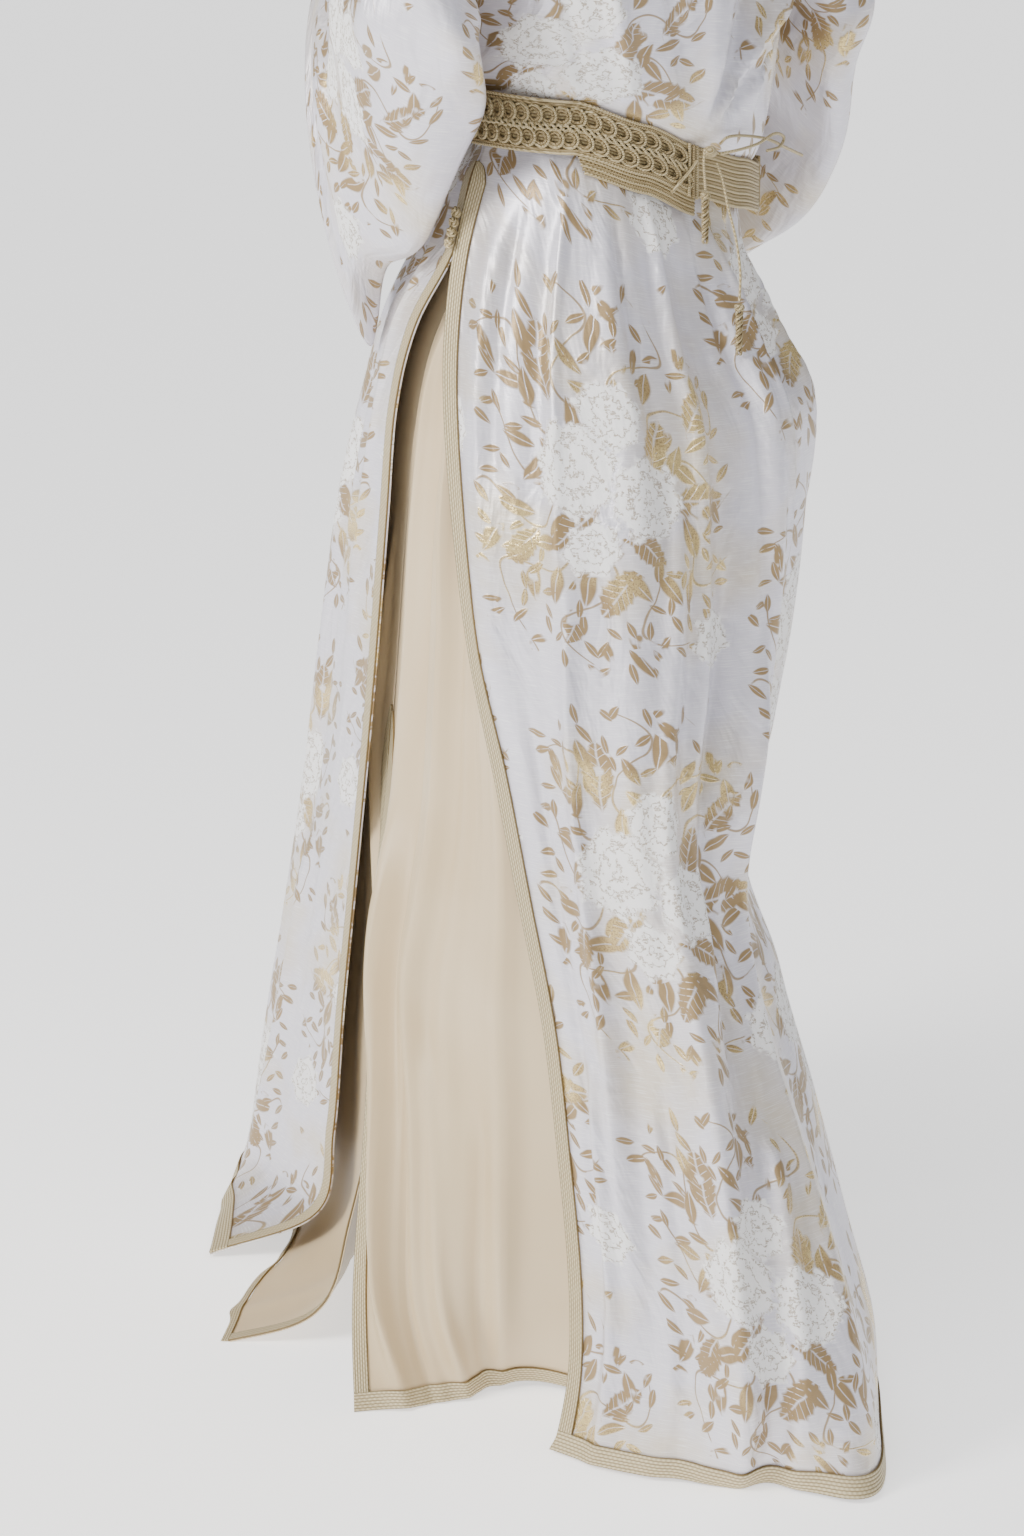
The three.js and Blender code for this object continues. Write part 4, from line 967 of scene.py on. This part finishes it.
def sleeve(name, rows, node):
    around = np.linspace(0, 2 * math.pi, 96, endpoint=False)
    downs = np.linspace(0, len(rows) - 1, 90)
    lines = run(rows, downs)
    lines[..., 2] -= HELD_HEIGHT
    lines *= MM
    front_line, outside, back_line, inside = (lines[:, k][:, None] for k in range(4))
    c, s = np.cos(around)[None, :, None], np.sin(around)[None, :, None]
    middle = (front_line + back_line) / 2
    points = (middle + (front_line - back_line) / 2 * c + (outside - inside) / 2 * s
              + ((outside + inside) / 2 - middle) * s * s)
    centre = points.mean(axis=1, keepdims=True)
    outwards = points - centre
    outwards /= np.maximum(np.linalg.norm(outwards, axis=2, keepdims=True), 1e-9)
    turn = around[None, :]
    row = downs[:, None]
    ease = smooth(row * 1.2) * smooth((len(rows) - 1 - row) * 1.5)
    crease = (3.6 * np.sin(turn * 2 + row * 1.7 + 0.6) + 3.0 * np.sin(turn * 3 - row * 2.9)
              + 3.2 * np.sin(turn + row * 4.1 + 1.1)
              + 1.8 * np.sin(turn * 5 + row * 2.3)) * ease * MM
    points = points + outwards * (crease - 0.004 * ease)[..., None]
    obj = mesh_grid(name, points, flat_uv(points, closed=True), closed=True,
                    materials=[BROCADE, BROCADE_INSIDE])
    middle_line = Vector(centre.mean(axis=0)[0])
    face_outwards(obj, lambda p: Vector(p) - middle_line)
    solidify(obj, BROCADE_THICKNESS, inside=1)
    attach(obj, "root")
    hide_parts(node)
    closed_points = np.concatenate([points, points[:, :1]], axis=1)
    uv = flat_uv(closed_points)
    widths = np.linalg.norm(np.diff(closed_points, axis=1), axis=2).sum(1)
    lengths = np.linalg.norm(np.diff(points, axis=0), axis=2).sum(0)
    obj["cut"] = [float(widths.max()), float(lengths.max())]
    obj["cut_area"] = grid_area(closed_points)
    return obj


left_sleeve = sleeve("sleeve_left", LEFT_SLEEVE, "left_sleeve")
right_sleeve = sleeve("sleeve_right", RIGHT_SLEEVE, "right_sleeve")


# ---- belt ----------------------------------------------------------------
def belt_line(turn, share, lift):
    """A point on the belt: share 0 at its top edge and 1 at its bottom edge."""
    turn = np.asarray(turn, float)
    t = np.mod(turn, 360)
    table = np.array(BELT_HEIGHTS, float)
    i = np.clip(np.searchsorted(table[:, 0], t, side="left"), 1, len(table) - 1)
    low, high = table[i - 1], table[i]
    f = (t - low[:, 0]) / (high[:, 0] - low[:, 0])
    f = smooth(f) * 0.4 + f * 0.6
    top = low[:, 1] + (high[:, 1] - low[:, 1]) * f
    bottom = low[:, 2] + (high[:, 2] - low[:, 2]) * f
    height = top + (bottom - top) * share
    angle = np.radians(turn)
    depth = np.where(np.sin(angle) > 0, 112.0, 108.0)
    x = (134 + lift) * np.cos(angle)
    y = (depth + lift) * np.sin(angle)
    return np.stack([x, y, height - HELD_HEIGHT], axis=1) * MM


def belt_piece(name, turns, shares, lift, thickness, node):
    rows = [belt_line(turns, share, lift) for share in shares]
    points = np.array(rows)
    steps = np.linalg.norm(np.diff(points[0], axis=0), axis=1)
    v = np.concatenate([[0], np.cumsum(steps)])
    uu, vv = np.meshgrid(np.linspace(0, 1, len(shares)), v, indexing="ij")
    obj = mesh_grid(name, points, np.stack([uu, vv], axis=2), materials=[BELT])
    face_outwards(obj, away_from_axis)
    solidify(obj, thickness)
    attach(obj, "root")
    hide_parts(node)
    return obj


band_turns = np.linspace(156, 446, 260)
belt_piece("belt_woven_band", band_turns, np.linspace(0, 1, 13), 4.2, 0.0018, "belt_band")
RING_SPACING = math.degrees(0.0112 / 0.122)
ring_angles = np.linspace(0, 2 * math.pi, 25)
ring_lines, ring_picks = [], []
for row_share, start in ((0.285, 157.5), (0.715, 157.5 + RING_SPACING / 2)):
    for ring_turn in np.arange(start, 445, RING_SPACING):
        for radius, pick in ((0.0076, 0), (0.0050, 1)):
            turns = ring_turn + np.degrees(radius * 0.92 / 0.122) * np.cos(ring_angles)
            share = row_share + radius / 0.045 * np.sin(ring_angles)
            lift = 6.1 + 1.5 * np.cos(ring_angles)
            outwards = np.stack([np.cos(np.radians(turns)), np.sin(np.radians(turns)),
                                 np.zeros(len(turns))], axis=1)
            ring_lines.append(belt_line(turns, share, 0) + outwards * lift[:, None] * MM)
            ring_picks.append(pick)
placed(tube_mesh("belt_rings", ring_lines, 0.00135, [CORD_LIGHT, CORD_BROWN], ring_picks, 5),
       None)
plait_turns = np.linspace(157, 445, 900)
plait_wave = np.radians(plait_turns) * 0.122 * 2 * math.pi / 0.0112
plait_lines = []
for phase in (0, math.pi):
    share = 0.5 + 0.05 * np.sin(plait_wave + phase)
    outwards = np.stack([np.cos(np.radians(plait_turns)), np.sin(np.radians(plait_turns)),
                         np.zeros(len(plait_turns))], axis=1)
    lift = 7.4 + 0.8 * np.cos(plait_wave + phase)
    plait_lines.append(belt_line(plait_turns, share, 0) + outwards * lift[:, None] * MM)
placed(tube_mesh("belt_middle_plait", plait_lines, 0.0013, [CORD_LIGHT], [0, 0], 5), None)
edge_lines = [belt_line(band_turns, share, 5.2) for share in (0.015, 0.075, 0.925, 0.985)]
edges = tube_mesh("belt_edge_cords", edge_lines, 0.0014, [CORD_LIGHT, CORD_BROWN], [0, 1, 1, 0])
placed(edges, None)

strap_turns = np.linspace(85, 157, 100)
strap_lines = [belt_line(strap_turns, share, 3.6) for share in np.linspace(0.03, 0.97, 15)]
strap = tube_mesh("belt_ribbed_strap", strap_lines, 0.0016, [CORD_LIGHT, CORD_BROWN],
                  [k % 2 for k in range(15)])
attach(strap, "root")
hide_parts("belt_strap")
wrap_share = np.linspace(-0.03, 1.03, 30)
wraps = [belt_line(np.full(30, turn), wrap_share, 5.6 + bulk)
         for turn, bulk in ((86.0, 1.4), (87.6, 2.0), (89.2, 1.4), (154.1, 1.6), (155.6, 1.0))]
placed(tube_mesh("belt_wraps", wraps, 0.0016, [CORD_LIGHT, CORD_BROWN], [0, 1, 0, 1, 0]), None)
end_lines = []
for share in np.linspace(0.15, 0.97, 13):
    trim = 3.5 * (2 * abs(share - 0.56)) ** 2
    end_lines.append(belt_line(np.linspace(45 + trim, 90, 70), share, 1.3)
                     - np.array([0, 0, 0.015]))
end = tube_mesh("belt_rounded_end", end_lines, 0.0015, [CORD_LIGHT, CORD_BROWN],
                [k % 2 for k in range(13)])
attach(end, "root")
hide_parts("belt_under_end")

# ---- the tie knot, a small CAD piece, keeps its shape and gets its finish ---
for name, obj in nodes.items():
    if name == "tie_knot":
        obj.data.materials.clear()
        obj.data.materials.append(CORD_LIGHT)

# ---- the size each sheet of cloth was cut to, worked out -----------------
for obj, key in ((outer_back, "back"), (outer_front, "front"), (satin_back, "under_back"),
                 (satin_front, "under_front"), (left_sleeve, None), (right_sleeve, None)):
    width, length = (math.ceil(v * 100) / 100 for v in obj["cut"])
    area = round(obj["cut_area"], 4)
    area = min(area, width * length)

# ---- floor and light -----------------------------------------------------
FLOOR = -HELD_HEIGHT * MM - 0.001
bpy.ops.mesh.primitive_plane_add(size=80, location=(0, 0, FLOOR))
floor = bpy.context.object
floor.name = "floor"
floor_shader = Shader("floor")
floor_shader.set("Base Color", rgb("#F6F5F4"))
floor_shader.set("Roughness", 0.7)
floor_shader.set("Emission Color", rgb("#FFFFFF"))
floor_shader.set("Emission Strength", 1.1)
floor.data.materials.append(floor_shader.material)


def lamp(name, place, size, power, colour=(1, 1, 1)):
    light = bpy.data.lights.new(name, "AREA")
    light.size = size
    light.energy = power
    light.color = colour
    obj = bpy.data.objects.new(name, light)
    bpy.context.collection.objects.link(obj)
    obj.location = place
    aim = Vector((0, 0, -0.8)) - Vector(place)
    obj.rotation_euler = aim.to_track_quat("-Z", "Y").to_euler()
    return obj


key_light = lamp("key", (3.0, -0.3, 0.9), 1.1, 120, (1.0, 0.98, 0.94))
fill_light = lamp("fill", (-2.2, 2.6, 0.6), 2.0, 9, (0.90, 0.94, 1.0))
sun = bpy.data.lights.new("sky", "SUN")
sun.energy = 1.3
sun.angle = math.radians(35)
sky_light = bpy.data.objects.new("sky", sun)
bpy.context.collection.objects.link(sky_light)
sky_light.rotation_euler = Vector((-0.55, -0.15, -1)).to_track_quat("-Z", "Y").to_euler()
world = bpy.data.worlds.new("studio")
world.use_nodes = True
world.node_tree.nodes["Background"].inputs[0].default_value = (0.96, 0.97, 1.0, 1)
world.node_tree.nodes["Background"].inputs[1].default_value = 0.32
bpy.context.scene.world = world
